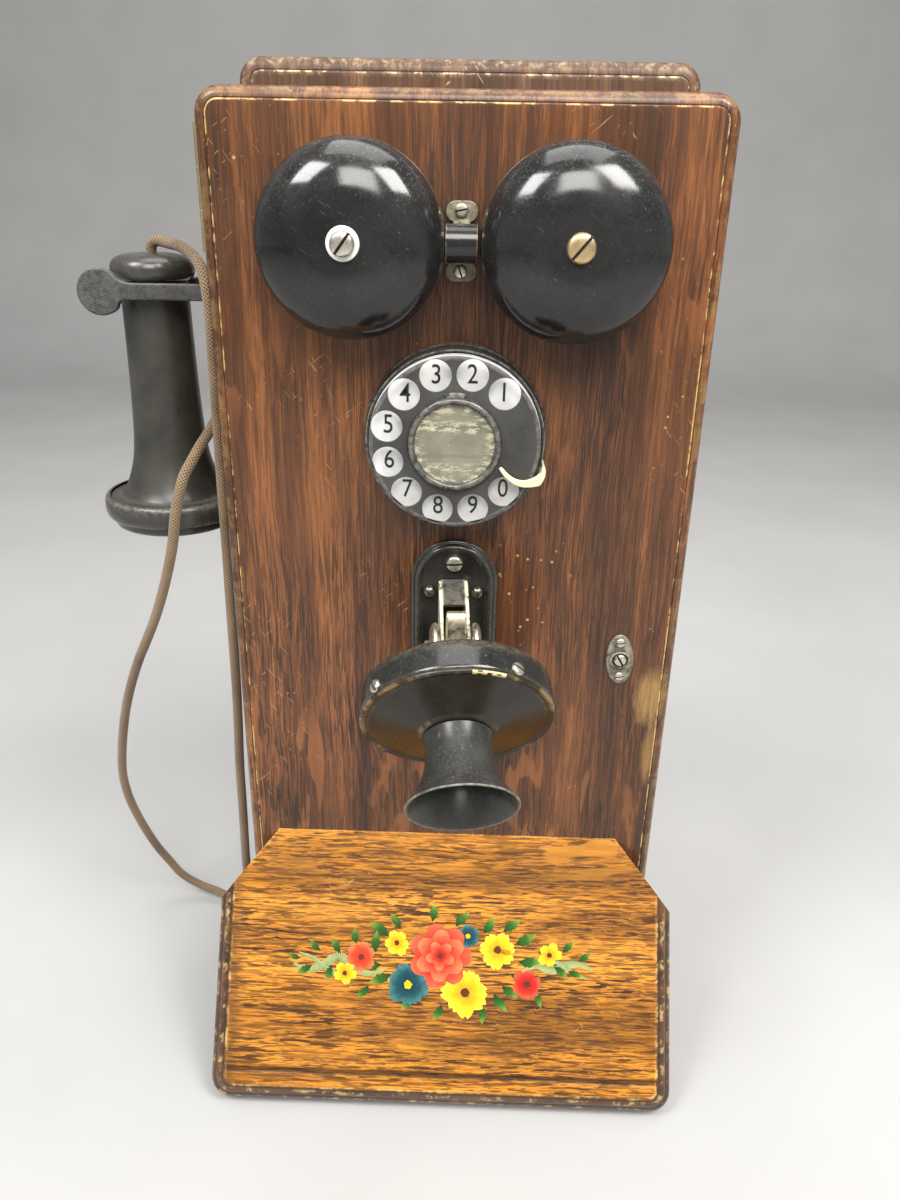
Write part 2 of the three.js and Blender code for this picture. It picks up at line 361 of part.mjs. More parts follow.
// the bracket and all that it carries stand askew on the mounting plate
const lean = new THREE.Group();
lean.position.set(BRACKET_X, DOOR_Y - 2, 0);
lean.rotation.z = LEAN * D2R;
phone.add(lean);
const askew = new THREE.Group();
askew.position.set(0, 2 - DOOR_Y, 0);
lean.add(askew);

// transmitter mounting plate: long rounded plate with a rolled double edge
{
  const x0 = PLATE_X - PLATE_W / 2, x1 = PLATE_X + PLATE_W / 2, z1 = PLATE_TOP, z0 = PLATE_TOP - PLATE_LEN, y = DOOR_Y;
  const screwHole = (z) => cylY(2.2, y - 8, y + 1, PLATE_X, z, 12);
  // two domed rivets, closed into the plate, hold the bracket
  const rivet = (x) => turnedOut([[0, 0.6], [2.9, 0.6], [2.9, 2.2], [2.7, 3.4], [1.7, 4.5], [0, 4.9]], 16, x, y, CASE_H - 200.5);
  add("transmitter_plate", join(cut(join(
    panel(roundRect(x0, x1, z0, z1, PLATE_W / 2 - 0.05), y - 2, y, { curveSegments: 5 }),
    cut(panel(roundRect(x0 + 1.6, x1 - 1.6, z0 + 1.6, z1 - 1.6, PLATE_W / 2 - 1.65), y - 4, y - 1.9, { curveSegments: 5 }),
      panel(roundRect(x0 + 4.6, x1 - 4.6, z0 + 4.6, z1 - 4.6, PLATE_W / 2 - 4.65), y - 5, y - 2, { curveSegments: 5 }))),
    screwHole(CASE_H - 186.7)), rivet(PLATE_X - 11.1), rivet(PLATE_X + 10.6)), ENAMEL);
  add("plate_screw", slottedScrew(PLATE_X, y - 2, CASE_H - 186.7, 3.7, 2.2, 1.9, 1.8, 2, 12), NICKEL);
  // bracket: two cheeks with round ends about the pivot, joined by a web at the top; its foot lies along the plate
  const cheekShape = () => {
    const s = new THREE.Shape(), { y: py, z: pz } = PIVOT, r = 6.6;
    s.moveTo(y, CASE_H - 194.9);
    s.lineTo(y - 6.4, CASE_H - 194.9);
    s.lineTo(y - 8.0, CASE_H - 195.8);
    s.lineTo(py - r * Math.sin(0.85), pz + r * Math.cos(0.85));
    s.absarc(py, pz, r, Math.PI / 2 + 0.85, Math.PI * 1.5 + 0.35, false);
    s.lineTo(y, CASE_H - 230);
    return s;
  };
  const hole = cylX(2.1, -40, 40, PIVOT.y, PIVOT.z, 14);
  const web = rib(polygon([[y, CASE_H - 194.2], [y - 6.0, CASE_H - 194.2], [y - 9.0, CASE_H - 195.6], [y - 16.5, CASE_H - 200.6], [y - 15.5, CASE_H - 201.9], [y - 7.6, CASE_H - 196.9], [y - 5.6, CASE_H - 196.0], [y, CASE_H - 196.0]]), -5, 5);
  const plateFloor = solid(new THREE.BoxGeometry(60, 20, 100).translate(0, 10, 0).rotateZ(-LEAN * D2R).translate(0, y - 2.3, CASE_H - 215));
  add("transmitter_bracket", cut(join(cut(rib(cheekShape(), -6.45, -4.95), hole), cut(rib(cheekShape(), 4.95, 6.45), hole), web,
    box(-6.4, 6.4, y - 4.2, y - 1, CASE_H - 230, CASE_H - 222)), plateFloor), ENAMEL, askew);
}

// transmitter: everything here tilts about the pivot bolt
const tilt = new THREE.Group();
tilt.position.set(0, PIVOT.y, PIVOT.z);
tilt.rotation.x = TILT * D2R;
askew.add(tilt);
const swing = new THREE.Group();
swing.rotation.z = SWING * D2R;
swing.position.x = CUP_OFF;
tilt.add(swing);
// the bolt with its round friction knobs, square to the bracket, and the small end of the bolt on the left
const knob = (s, x0) => cut(solid(new THREE.LatheGeometry(pts([[0, 0], [10.0, 0], [10.8, 0.8], [10.5, 2.0], [9.0, 3.1], [5.4, 3.6], [0, 3.7], [0, 0]]), 28).rotateZ(s > 0 ? -Math.PI / 2 : Math.PI / 2).translate(x0, 0, 0)));
add("transmitter_pivot_bolt", join(cylX(1.8, -12, 11.5, 0, 0, 12), cylX(7.6, 6.8, 7.7, 0, 0, 20), cylX(7.6, -7.7, -6.8, 0, 0, 20), knob(1, 7.5), knob(-1, -7.5), cylX(3.1, -13.4, -11.0, 0, 0, 12)), NICKEL, tilt);
{
  const s = new THREE.Shape(); // arm in Y and Z about the pivot, at the transmitter's own tilt
  s.moveTo(-13.4, -4.6);
  s.lineTo(-13.4, 4.6);
  s.lineTo(-8.5, 4.8);
  s.lineTo(-4.6, 6.4);
  s.lineTo(-1.0, 11.5);
  s.lineTo(3.6, 17.2);
  s.lineTo(5.4, 17.9);
  s.lineTo(7.6, 17.0);
  s.lineTo(8.0, 15.4);
  s.lineTo(6.4, 10.0);
  s.lineTo(5.2, 3.4);
  s.absarc(0, 0, 5.8, 0.6, -Math.PI / 2 - 0.4, true);
  add("transmitter_arm", join(cut(rib(s, -4.2, 4.2), cylX(2.1, -10, 10, 0, 0, 12)),
    solid(new THREE.CylinderGeometry(8, 8, 2.4, 20).translate(0, -13.8, 0))), NICKEL, tilt);
}
{
  const K = FACE_K, B = K - CUP_DEPTH; // the cup's cylindrical side runs from B to K in front of the pivot
  const screws = [["left", 145], ["right", 57]];
  const rimHoles = screws.map(([, a]) => solid(new THREE.CylinderGeometry(1.7, 1.7, 8, 10).rotateZ(Math.PI / 2).translate(CUP_R, -(K - 4), 0).rotateY(-a * D2R)));
  add("transmitter_cup", cut(solid(new THREE.LatheGeometry(pts([[0, 16.2], [10, 16.2], [27, 17.9], [36, 18.9], [39.2, B], [CUP_R, B + 1.2], [CUP_R, K - 1.6], [CUP_R - 1.6, K - 1.6],
    [CUP_R - 1.6, B + 2.2], [35, 20.9], [11, 18.5], [0, 18.3]]), 34).rotateX(Math.PI)), ...rimHoles), ENAMEL, swing);
  // face: a shallow cone with a turned edge, open in the middle for the mouthpiece
  add("transmitter_face", solid(new THREE.LatheGeometry(pts([[9.6, K + 6.6], [15, K + 6.6], [16.5, K + 5.4], [37.2, K - 0.4], [39.2, K + 0.1], [CUP_R, K - 0.3], [CUP_R, K - 1.2], [38, K - 1.2],
    [37.6, K - 2.4], [15.5, K + 3.6], [9.6, K + 4.4], [9.6, K + 6.6]]), 34).rotateX(Math.PI)), ENAMEL, swing);
  // mouthpiece: trumpet of hard rubber with a thin lip, closed at its throat by the grille
  const horn = solid(new THREE.LatheGeometry(pts([[0, K + 1.0], [9.2, K + 1.0], [9.2, K + 6.9], [NECK_R, K + 6.9], [NECK_R + 0.4, K + 16], [16.9, K + 26], [19.6, K + 32], [LIP_R, K + 37.2], [LIP_R, K + 38],
    [21.4, K + 38], [17.6, K + 31.2], [14.2, K + 24], [11.2, K + 15], [9.2, K + 6.6], [0, K + 6.6]]), 28).rotateX(Math.PI));
  add("mouthpiece", horn, EBONITE, swing);
  add("transmitter_button", solid(new THREE.LatheGeometry(pts([[0, 19], [14, 20], [14, 29], [11, 29], [11, 33], [0, 33]]), 20).rotateX(Math.PI)), BRASS, swing);
  // screws through the side of the cup into the face's edge
  for (const [name, a] of screws) {
    const head = join(cylX(2.7, CUP_R + 0.2, CUP_R + 1.5, -(K - 4), 0, 12), cylX(1.3, CUP_R - 1.2, CUP_R + 0.3, -(K - 4), 0, 8));
    const grp = new THREE.Group();
    grp.rotation.y = -a * D2R;
    swing.add(grp);
    add(`rim_screw_${name}`, head, NICKEL, grp);
  }
}

// latch plate, its screws, and the lock screw with its cam
{
  const x = LATCH_X, z = LATCH_Z, oval = new THREE.Shape(), boss = new THREE.Shape();
  oval.absellipse(x, z, LATCH_W / 2, LATCH_H / 2, 0, Math.PI * 2, false, 4 * D2R);
  boss.absellipse(x, z, 4.9, 4.1, 0, Math.PI * 2, false, 0);
  const holes = cylY(1.6, DOOR_Y - 4, DOOR_Y + 1, x - 0.4, z + 8.7, 10), holes2 = cylY(1.6, DOOR_Y - 4, DOOR_Y + 1, x + 0.4, z - 8.7, 10);
  add("latch_plate", cut(join(panel(oval, DOOR_Y - 1.4, DOOR_Y, { curveSegments: 9 }), panel(boss, DOOR_Y - 2.1, DOOR_Y - 1, { curveSegments: 6 })), cylY(3.5, DOOR_Y - 4, DOOR_Y + 1, x, z, 18), holes, holes2), ENAMEL);
  add("latch_screw_top", slottedScrew(x - 0.4, DOOR_Y - 1.4, z + 8.7, 2.2, 1.0, 1.3, 0.9, 12, 10), NICKEL);
  add("latch_screw_bottom", slottedScrew(x + 0.4, DOOR_Y - 1.4, z - 8.7, 2.2, 1.0, 1.3, 0.9, -8, 10), NICKEL);
  const head = cut(turnedOut([[0, 0.2], [3.2, 0.2], [3.2, 2.6], [2.8, 3.2], [0, 3.2]], 18, x, DOOR_Y, z), solid(new THREE.BoxGeometry(9, 1.6, 0.9).rotateY(-60 * D2R).translate(x, DOOR_Y - 3.2, z)));
  // the cam stands upright when the door is free, and turns a quarter turn into the side's mortise
  add("lock_screw", join(head, cylY(3, DOOR_Y - 1, yb + 8.8, x, z, 14), box(x - 3.6, x + 3.6, yb + 6, yb + 8.8, z - 4, z + 15.2)), NICKEL);
}

// ---------------------------------------------------------------- hook and receiver
{
  const cx = -157.8, cz = CASE_H - 77.6, r = 9.9, zt = FORK_TOP, zb = FORK_TOP - 7.1, s = new THREE.Shape();
  const a0 = 0.66, a1 = 0.62; // where the blends leave the disc, above and below
  s.moveTo(-109, zb + 0.2);
  s.lineTo(-109, zt + 0.2);
  s.lineTo(-143, zt);
  s.quadraticCurveTo(-147.4, zt + 0.2, cx + r * Math.cos(a0), cz + r * Math.sin(a0));
  s.absarc(cx, cz, r, a0, Math.PI * 2 - a1, false);
  s.quadraticCurveTo(-146.4, zb, -143, zb);
  s.closePath();
  const prong = (y0) => panel(s, y0, y0 + 4, { curveSegments: 5 });
  const y = REC.y, root = box(-114.5, -109, y - 19.9, y + 19.9, zb + 0.2, zt + 0.2);
  const arm = box(-110, HOOK_PIVOT.x, y - 3, y + 3, zb + 0.2, zt + 0.2);
  const hub = cylY(5, y - 3.9, y + 3.9, HOOK_PIVOT.x, HOOK_PIVOT.z, 18);
  const tail = box(HOOK_PIVOT.x, HOOK_PIVOT.x + 20, y - 2.5, y + 2.5, HOOK_PIVOT.z - 5, HOOK_PIVOT.z - 1);
  add("hook_lever", cut(join(prong(y - 20), prong(y + 16), root, arm, hub, tail), cylY(1.75, y - 9, y + 9, HOOK_PIVOT.x, HOOK_PIVOT.z, 14)), CRACKLE);
}
{
  const { x, y } = REC, T = REC_TOP;
  // tail cap: low dome that rests across the fork, with the cord hole in its middle
  add("receiver_tail", cut(turnedUp([[0, 0], [10, -0.2], [15, -1.2], [17.6, -3.2], [18.5, -6], [18.3, -9], [17, -11], [15, -11.4], [0, -11.4]], 28, x, y, T), cylZ(3, T - 12, T + 1, x, y, 12),
    cylZ(11.4, T - 12, T - 6, x, y, 20)), EBONITE);
  // shell: long neck that flares to carry the ear cap; hollow, open at the bottom
  add("receiver_shell", turnedUp([[12, -11.5], [15, -11.5], [15.1, -32], [15.7, -62], [16.5, -80], [18.2, -93.6], [20.6, -101], [24, -108.4], [26, -110], [31, -110.4], [31, -114.6], [27.5, -114.6], [26.4, -112.4], [22, -111.6], [17, -100], [13.4, -80], [12, -50], [12, -11.5]], 28, x, y, T), EBONITE);
  // ear cap: rounded rim with a step below, dished face with a hole in the middle
  add("receiver_cap", turnedUp([[31.3, -109.7], [33, -111.4], [33.4, -114], [33.1, -117.6], [31.4, -119.6], [29.6, -119.8], [29, -123.8], [27.4, -124.6], [12, -122.2], [5.2, -121.4], [5.2, -119], [28.4, -119], [31.3, -115.4], [31.3, -109.7]], 32, x, y, T), EBONITE);
  // bar magnet with its two pole coils and diaphragm, in one block inside the shell
  add("receiver_magnet", join(box(x - 7.5, x + 7.5, y - 4, y + 4, T - 92, T - 26), cylZ(9.5, T - 112, T - 92, x, y, 20), cylZ(27, T - 116.6, T - 115.4, x, y, 24), cylZ(4, T - 116, T - 111, x, y, 16)), STEEL);
}

// ---------------------------------------------------------------- receiver cord
// one braided cord from the receiver's tail, down beside the door, round on the table and back up to the bushing
const CORD_ROUTE = [
  [-139.8, 50.0, -61.6], [-139.8, 50.0, -60.0], [-138.6, 49.6, -58.0], [-135.4, 48.4, -57.0], [-130.6, 45.6, -57.8], [-123.6, 40.6, -58.9], [-117.0, 35.4, -62.2],
  [-112.0, 29.8, -67.2], [-109.6, 26.0, -75.0], [-108.7, 24.6, -84.0], [-108.9, 24.5, -104.5], [-109.2, 24.5, -128.7],
  [-109.6, 24.5, -158.9], [-110.0, 25.0, -191.0], [-111.1, 27.0, -225.9], [-113.5, 33.0, -279.1], [-116.9, 39.0, -326.0],
  [-118.5, 43.0, -359.0], [-120.6, 48.0, -395.6], [-121.6, 52.0, -420.0], [-122.4, 56.6, -438.0], [-125.2, 63.5, -450.4],
  [-131.0, 71.5, -456.4], [-139.0, 79.0, -457.3], [-148.6, 84.0, -454.3], [-158.9, 86.2, -451.9], [-167.6, 86.2, -446.9],
  [-174.5, 85.2, -439.9], [-179.8, 83.2, -428.8], [-185.1, 80.0, -415.6], [-189.0, 76.0, -400.3], [-192.0, 71.0, -382.4],
  [-193.1, 66.0, -365.8], [-192.2, 61.0, -348.9], [-188.9, 56.0, -331.8], [-179.6, 46.0, -299.3], [-171.1, 39.0, -276.6],
  [-162.2, 32.0, -257.3], [-155.3, 27.6, -244.2], [-146.3, 21.6, -226.3], [-138.2, 16.4, -206.6], [-131.9, 13.0, -187.4],
  [-128.4, 12.8, -169.6], [-126.7, 13.8, -163.3], [-124.4, 16.4, -155.1], [-122.0, 19.6, -150.3], [-118.9, 25.0, -144.2],
  [-115.6, 30.4, -138.6], [-112.4, 35.2, -132.6], [-109.6, 38.2, -127.6], [-106.4, 39.8, -124.4], [-103.6, 40.0, -124.0], [-101.9, 40.0, -124.0],
].map(([x, y, z]) => new THREE.Vector3(x, DOOR_Y + y, CASE_H + z));
{
  const route = new THREE.CatmullRomCurve3(CORD_ROUTE, false, "centripetal");
  const ring = polygon([...Array(8)].map((_, i) => [CORD_R * Math.cos(i * Math.PI / 4), CORD_R * Math.sin(i * Math.PI / 4)]));
  add("receiver_cord", solid(new THREE.ExtrudeGeometry(ring, { steps: 64, bevelEnabled: false, extrudePath: route })), COTTON);
}

export default phone;
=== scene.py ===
import bpy
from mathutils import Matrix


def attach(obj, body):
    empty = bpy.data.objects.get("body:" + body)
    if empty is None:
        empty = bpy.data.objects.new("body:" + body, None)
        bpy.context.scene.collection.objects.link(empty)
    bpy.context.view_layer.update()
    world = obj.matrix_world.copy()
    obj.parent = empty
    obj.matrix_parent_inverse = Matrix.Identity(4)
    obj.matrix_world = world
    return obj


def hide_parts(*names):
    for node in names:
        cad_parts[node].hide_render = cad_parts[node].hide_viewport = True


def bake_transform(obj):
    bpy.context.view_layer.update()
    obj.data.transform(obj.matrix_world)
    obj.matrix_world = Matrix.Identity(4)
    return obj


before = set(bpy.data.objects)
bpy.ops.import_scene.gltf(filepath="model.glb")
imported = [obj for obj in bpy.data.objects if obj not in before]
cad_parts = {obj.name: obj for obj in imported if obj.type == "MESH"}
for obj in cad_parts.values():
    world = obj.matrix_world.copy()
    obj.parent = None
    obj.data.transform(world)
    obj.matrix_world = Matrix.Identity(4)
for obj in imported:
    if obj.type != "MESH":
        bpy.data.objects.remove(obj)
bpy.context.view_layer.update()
import bpy, bmesh, math, random
from mathutils import Vector, Matrix, noise

# ------------------------------------------------------------------ driving numbers, in millimetres, as in the CAD
MM = 0.001
H, YF, YB = 460.0, -45.0, 45.0          # door top, door front, back of the backboard
DOOR_W, DOOR_T = 205.7, 18.0
GX, GZ, GR, GRIM, GTOP = 42.6, H - 53.2, 36.0, 10.3, 34.0
DX, DZ = -1.5, H - 129.1
PX, PTOP, PLEN, PW = -0.8, H - 176, 92.0, 38.9
BX, LEAN = -1.33, math.radians(4.3)
PIVY, PIVZ, CUP_OFF = YF - 28.5, H - 215.5, -0.85
TILT, SWING, K = math.radians(31.1), math.radians(0.9), 35.7
LX, LZ = 77.0, H - 233.0
SLOPE = math.radians(59.8)
REC = Vector((-139.8, YF + 50.0, H - 62.0))
CORD_R = 2.45

# ------------------------------------------------------------------ camera
def aim_camera():
    yaw, pitch, roll = math.radians(1.159), math.radians(23.569), math.radians(1.078)
    F = Vector((-math.sin(yaw) * math.cos(pitch), math.cos(yaw) * math.cos(pitch), -math.sin(pitch)))
    r0 = Vector((math.cos(yaw), math.sin(yaw), 0))
    u0 = r0.cross(F)
    right = math.cos(roll) * r0 + math.sin(roll) * u0
    up = -math.sin(roll) * r0 + math.cos(roll) * u0
    cam = bpy.data.cameras.new("camera")
    cam.sensor_width, cam.lens, cam.sensor_fit = 36.0, 27.70, "AUTO"
    cam.clip_start, cam.clip_end = 0.01, 50
    ob = bpy.data.objects.new("camera", cam)
    bpy.context.scene.collection.objects.link(ob)
    m = Matrix((right, up, -F)).transposed().to_4x4()
    m.translation = Vector((0.00529, -0.43071, 0.42271))
    ob.matrix_world = m
    bpy.context.scene.camera = ob
aim_camera()

# ------------------------------------------------------------------ material helpers
class Nodes:
    def __init__(self, name):
        self.mat = bpy.data.materials.new(name)
        self.mat.use_nodes = True
        self.nt = self.mat.node_tree
        self.nt.nodes.clear()
        self.out = self.nt.nodes.new("ShaderNodeOutputMaterial")
        self.bsdf = self.nt.nodes.new("ShaderNodeBsdfPrincipled")
        self.nt.links.new(self.bsdf.outputs[0], self.out.inputs[0])
        self.obj = None
    def link(self, a, b):
        self.nt.links.new(a, b)
    def put(self, sock, v):
        if isinstance(v, bpy.types.NodeSocket):
            self.link(v, sock)
        elif isinstance(v, (tuple, list)) and len(v) == 3 and sock.type == "RGBA":
            sock.default_value = (*v, 1)
        else:
            sock.default_value = v
    def coord(self):
        if self.obj is None:
            self.obj = self.nt.nodes.new("ShaderNodeTexCoord").outputs["Object"]
        return self.obj
    def uv(self):
        return self.nt.nodes.new("ShaderNodeTexCoord").outputs["UV"]
    def mapping(self, vec, scale=(1, 1, 1), rot=(0, 0, 0), loc=(0, 0, 0)):
        n = self.nt.nodes.new("ShaderNodeMapping")
        self.put(n.inputs["Vector"], vec)
        n.inputs["Scale"].default_value, n.inputs["Rotation"].default_value, n.inputs["Location"].default_value = scale, rot, loc
        return n.outputs[0]
    def noise(self, vec=None, scale=100.0, detail=4.0, rough=0.55, dist=0.0, lac=2.0, color=False):
        n = self.nt.nodes.new("ShaderNodeTexNoise")
        self.put(n.inputs["Vector"], vec if vec is not None else self.coord())
        n.inputs["Scale"].default_value, n.inputs["Detail"].default_value = scale, detail
        n.inputs["Roughness"].default_value, n.inputs["Distortion"].default_value, n.inputs["Lacunarity"].default_value = rough, dist, lac
        return n.outputs["Color" if color else "Fac"]
    def voronoi(self, vec=None, scale=100.0, feature="F1", out="Distance", rand=1.0):
        n = self.nt.nodes.new("ShaderNodeTexVoronoi")
        n.feature = feature
        self.put(n.inputs["Vector"], vec if vec is not None else self.coord())
        n.inputs["Scale"].default_value, n.inputs["Randomness"].default_value = scale, rand
        return n.outputs[out]
    def wave(self, vec, scale=5.0, dist=0.0, detail=2.0, dscale=1.0, direction="X", profile="SIN"):
        n = self.nt.nodes.new("ShaderNodeTexWave")
        n.bands_direction, n.wave_profile = direction, profile
        self.put(n.inputs["Vector"], vec)
        n.inputs["Scale"].default_value, n.inputs["Distortion"].default_value = scale, dist
        n.inputs["Detail"].default_value, n.inputs["Detail Scale"].default_value = detail, dscale
        return n.outputs["Fac"]
    def ramp(self, fac, stops, interp="LINEAR"):
        n = self.nt.nodes.new("ShaderNodeValToRGB")
        self.put(n.inputs[0], fac)
        n.color_ramp.interpolation = interp
        e = n.color_ramp.elements
        while len(e) < len(stops):
            e.new(0.5)
        for el, (p, c) in zip(e, stops):
            el.position = p
            el.color = (c, c, c, 1) if isinstance(c, (int, float)) else (*c, 1)
        return n.outputs[0]
    def math(self, op, a, b=0.0, c=None, clamp=False):
        n = self.nt.nodes.new("ShaderNodeMath")
        n.operation, n.use_clamp = op, clamp
        self.put(n.inputs[0], a)
        self.put(n.inputs[1], b)
        if c is not None:
            self.put(n.inputs[2], c)
        return n.outputs[0]
    def mix(self, fac, a, b, blend="MIX"):
        n = self.nt.nodes.new("ShaderNodeMix")
        n.data_type, n.blend_type, n.clamp_factor = "RGBA", blend, True
        self.put(n.inputs[0], fac)
        self.put(n.inputs[6], a)
        self.put(n.inputs[7], b)
        return n.outputs[2]
    def warp(self, vec, scale, amount, seed=0.0):
        """Shifts the coordinates by a smooth noise, so lines wander."""
        t = self.nt.nodes.new("ShaderNodeTexNoise")
        self.put(t.inputs["Vector"], self.mapping(vec, loc=(seed, seed * 0.3, 0)))
        t.inputs["Scale"].default_value, t.inputs["Detail"].default_value = scale, 1.0
        a = self.nt.nodes.new("ShaderNodeVectorMath"); a.operation = "SUBTRACT"
        self.link(t.outputs["Color"], a.inputs[0]); a.inputs[1].default_value = (0.5, 0.5, 0.5)
        b = self.nt.nodes.new("ShaderNodeVectorMath"); b.operation = "MULTIPLY_ADD"
        self.link(a.outputs[0], b.inputs[0]); b.inputs[1].default_value = (amount, amount, amount * 0.4)
        self.link(vec, b.inputs[2])
        return b.outputs[0]
    def length(self, vec):
        a = self.nt.nodes.new("ShaderNodeVectorMath"); a.operation = "LENGTH"
        self.link(vec, a.inputs[0])
        return a.outputs["Value"]
    def attr(self, name, out="Fac"):
        n = self.nt.nodes.new("ShaderNodeAttribute")
        n.attribute_name = name
        return n.outputs[out]
    def sep(self, vec):
        n = self.nt.nodes.new("ShaderNodeSeparateXYZ")
        self.put(n.inputs[0], vec)
        return n.outputs
    def normal_z(self):
        n = self.nt.nodes.new("ShaderNodeNewGeometry")
        return self.sep(n.outputs["Normal"])[2]
    def bump(self, height, strength=0.3, dist=0.0003, normal=None):
        n = self.nt.nodes.new("ShaderNodeBump")
        self.put(n.inputs["Height"], height)
        n.inputs["Strength"].default_value, n.inputs["Distance"].default_value = strength, dist
        if normal is not None:
            self.link(normal, n.inputs["Normal"])
        return n.outputs[0]
    def done(self, color, rough, metal=0.0, normal=None, spec=None, coat=None, coat_rough=None, sheen=None):
        b = self.bsdf
        self.put(b.inputs["Base Color"], color)
        self.put(b.inputs["Roughness"], rough)
        self.put(b.inputs["Metallic"], metal)
        if normal is not None:
            self.link(normal, b.inputs["Normal"])
        if spec is not None:
            b.inputs["Specular IOR Level"].default_value = spec
        if coat is not None:
            b.inputs["Coat Weight"].default_value = coat
        if coat_rough is not None:
            b.inputs["Coat Roughness"].default_value = coat_rough
        if sheen is not None:
            b.inputs["Sheen Weight"].default_value = sheen
        return self.mat

def worn(n, color, wear_color, amount=1.0, scale=260.0, lo=0.35, hi=0.6):
    """The wear attribute, broken up by noise, shows another colour."""
    w = n.attr("wear")
    breakup = n.noise(scale=scale, detail=6, rough=0.7)
    f = n.math("MULTIPLY", w, n.ramp(breakup, [(lo, 0.0), (hi, 1.0)]))
    f = n.math("MULTIPLY", f, amount, clamp=True)
    return n.mix(f, color, wear_color), f

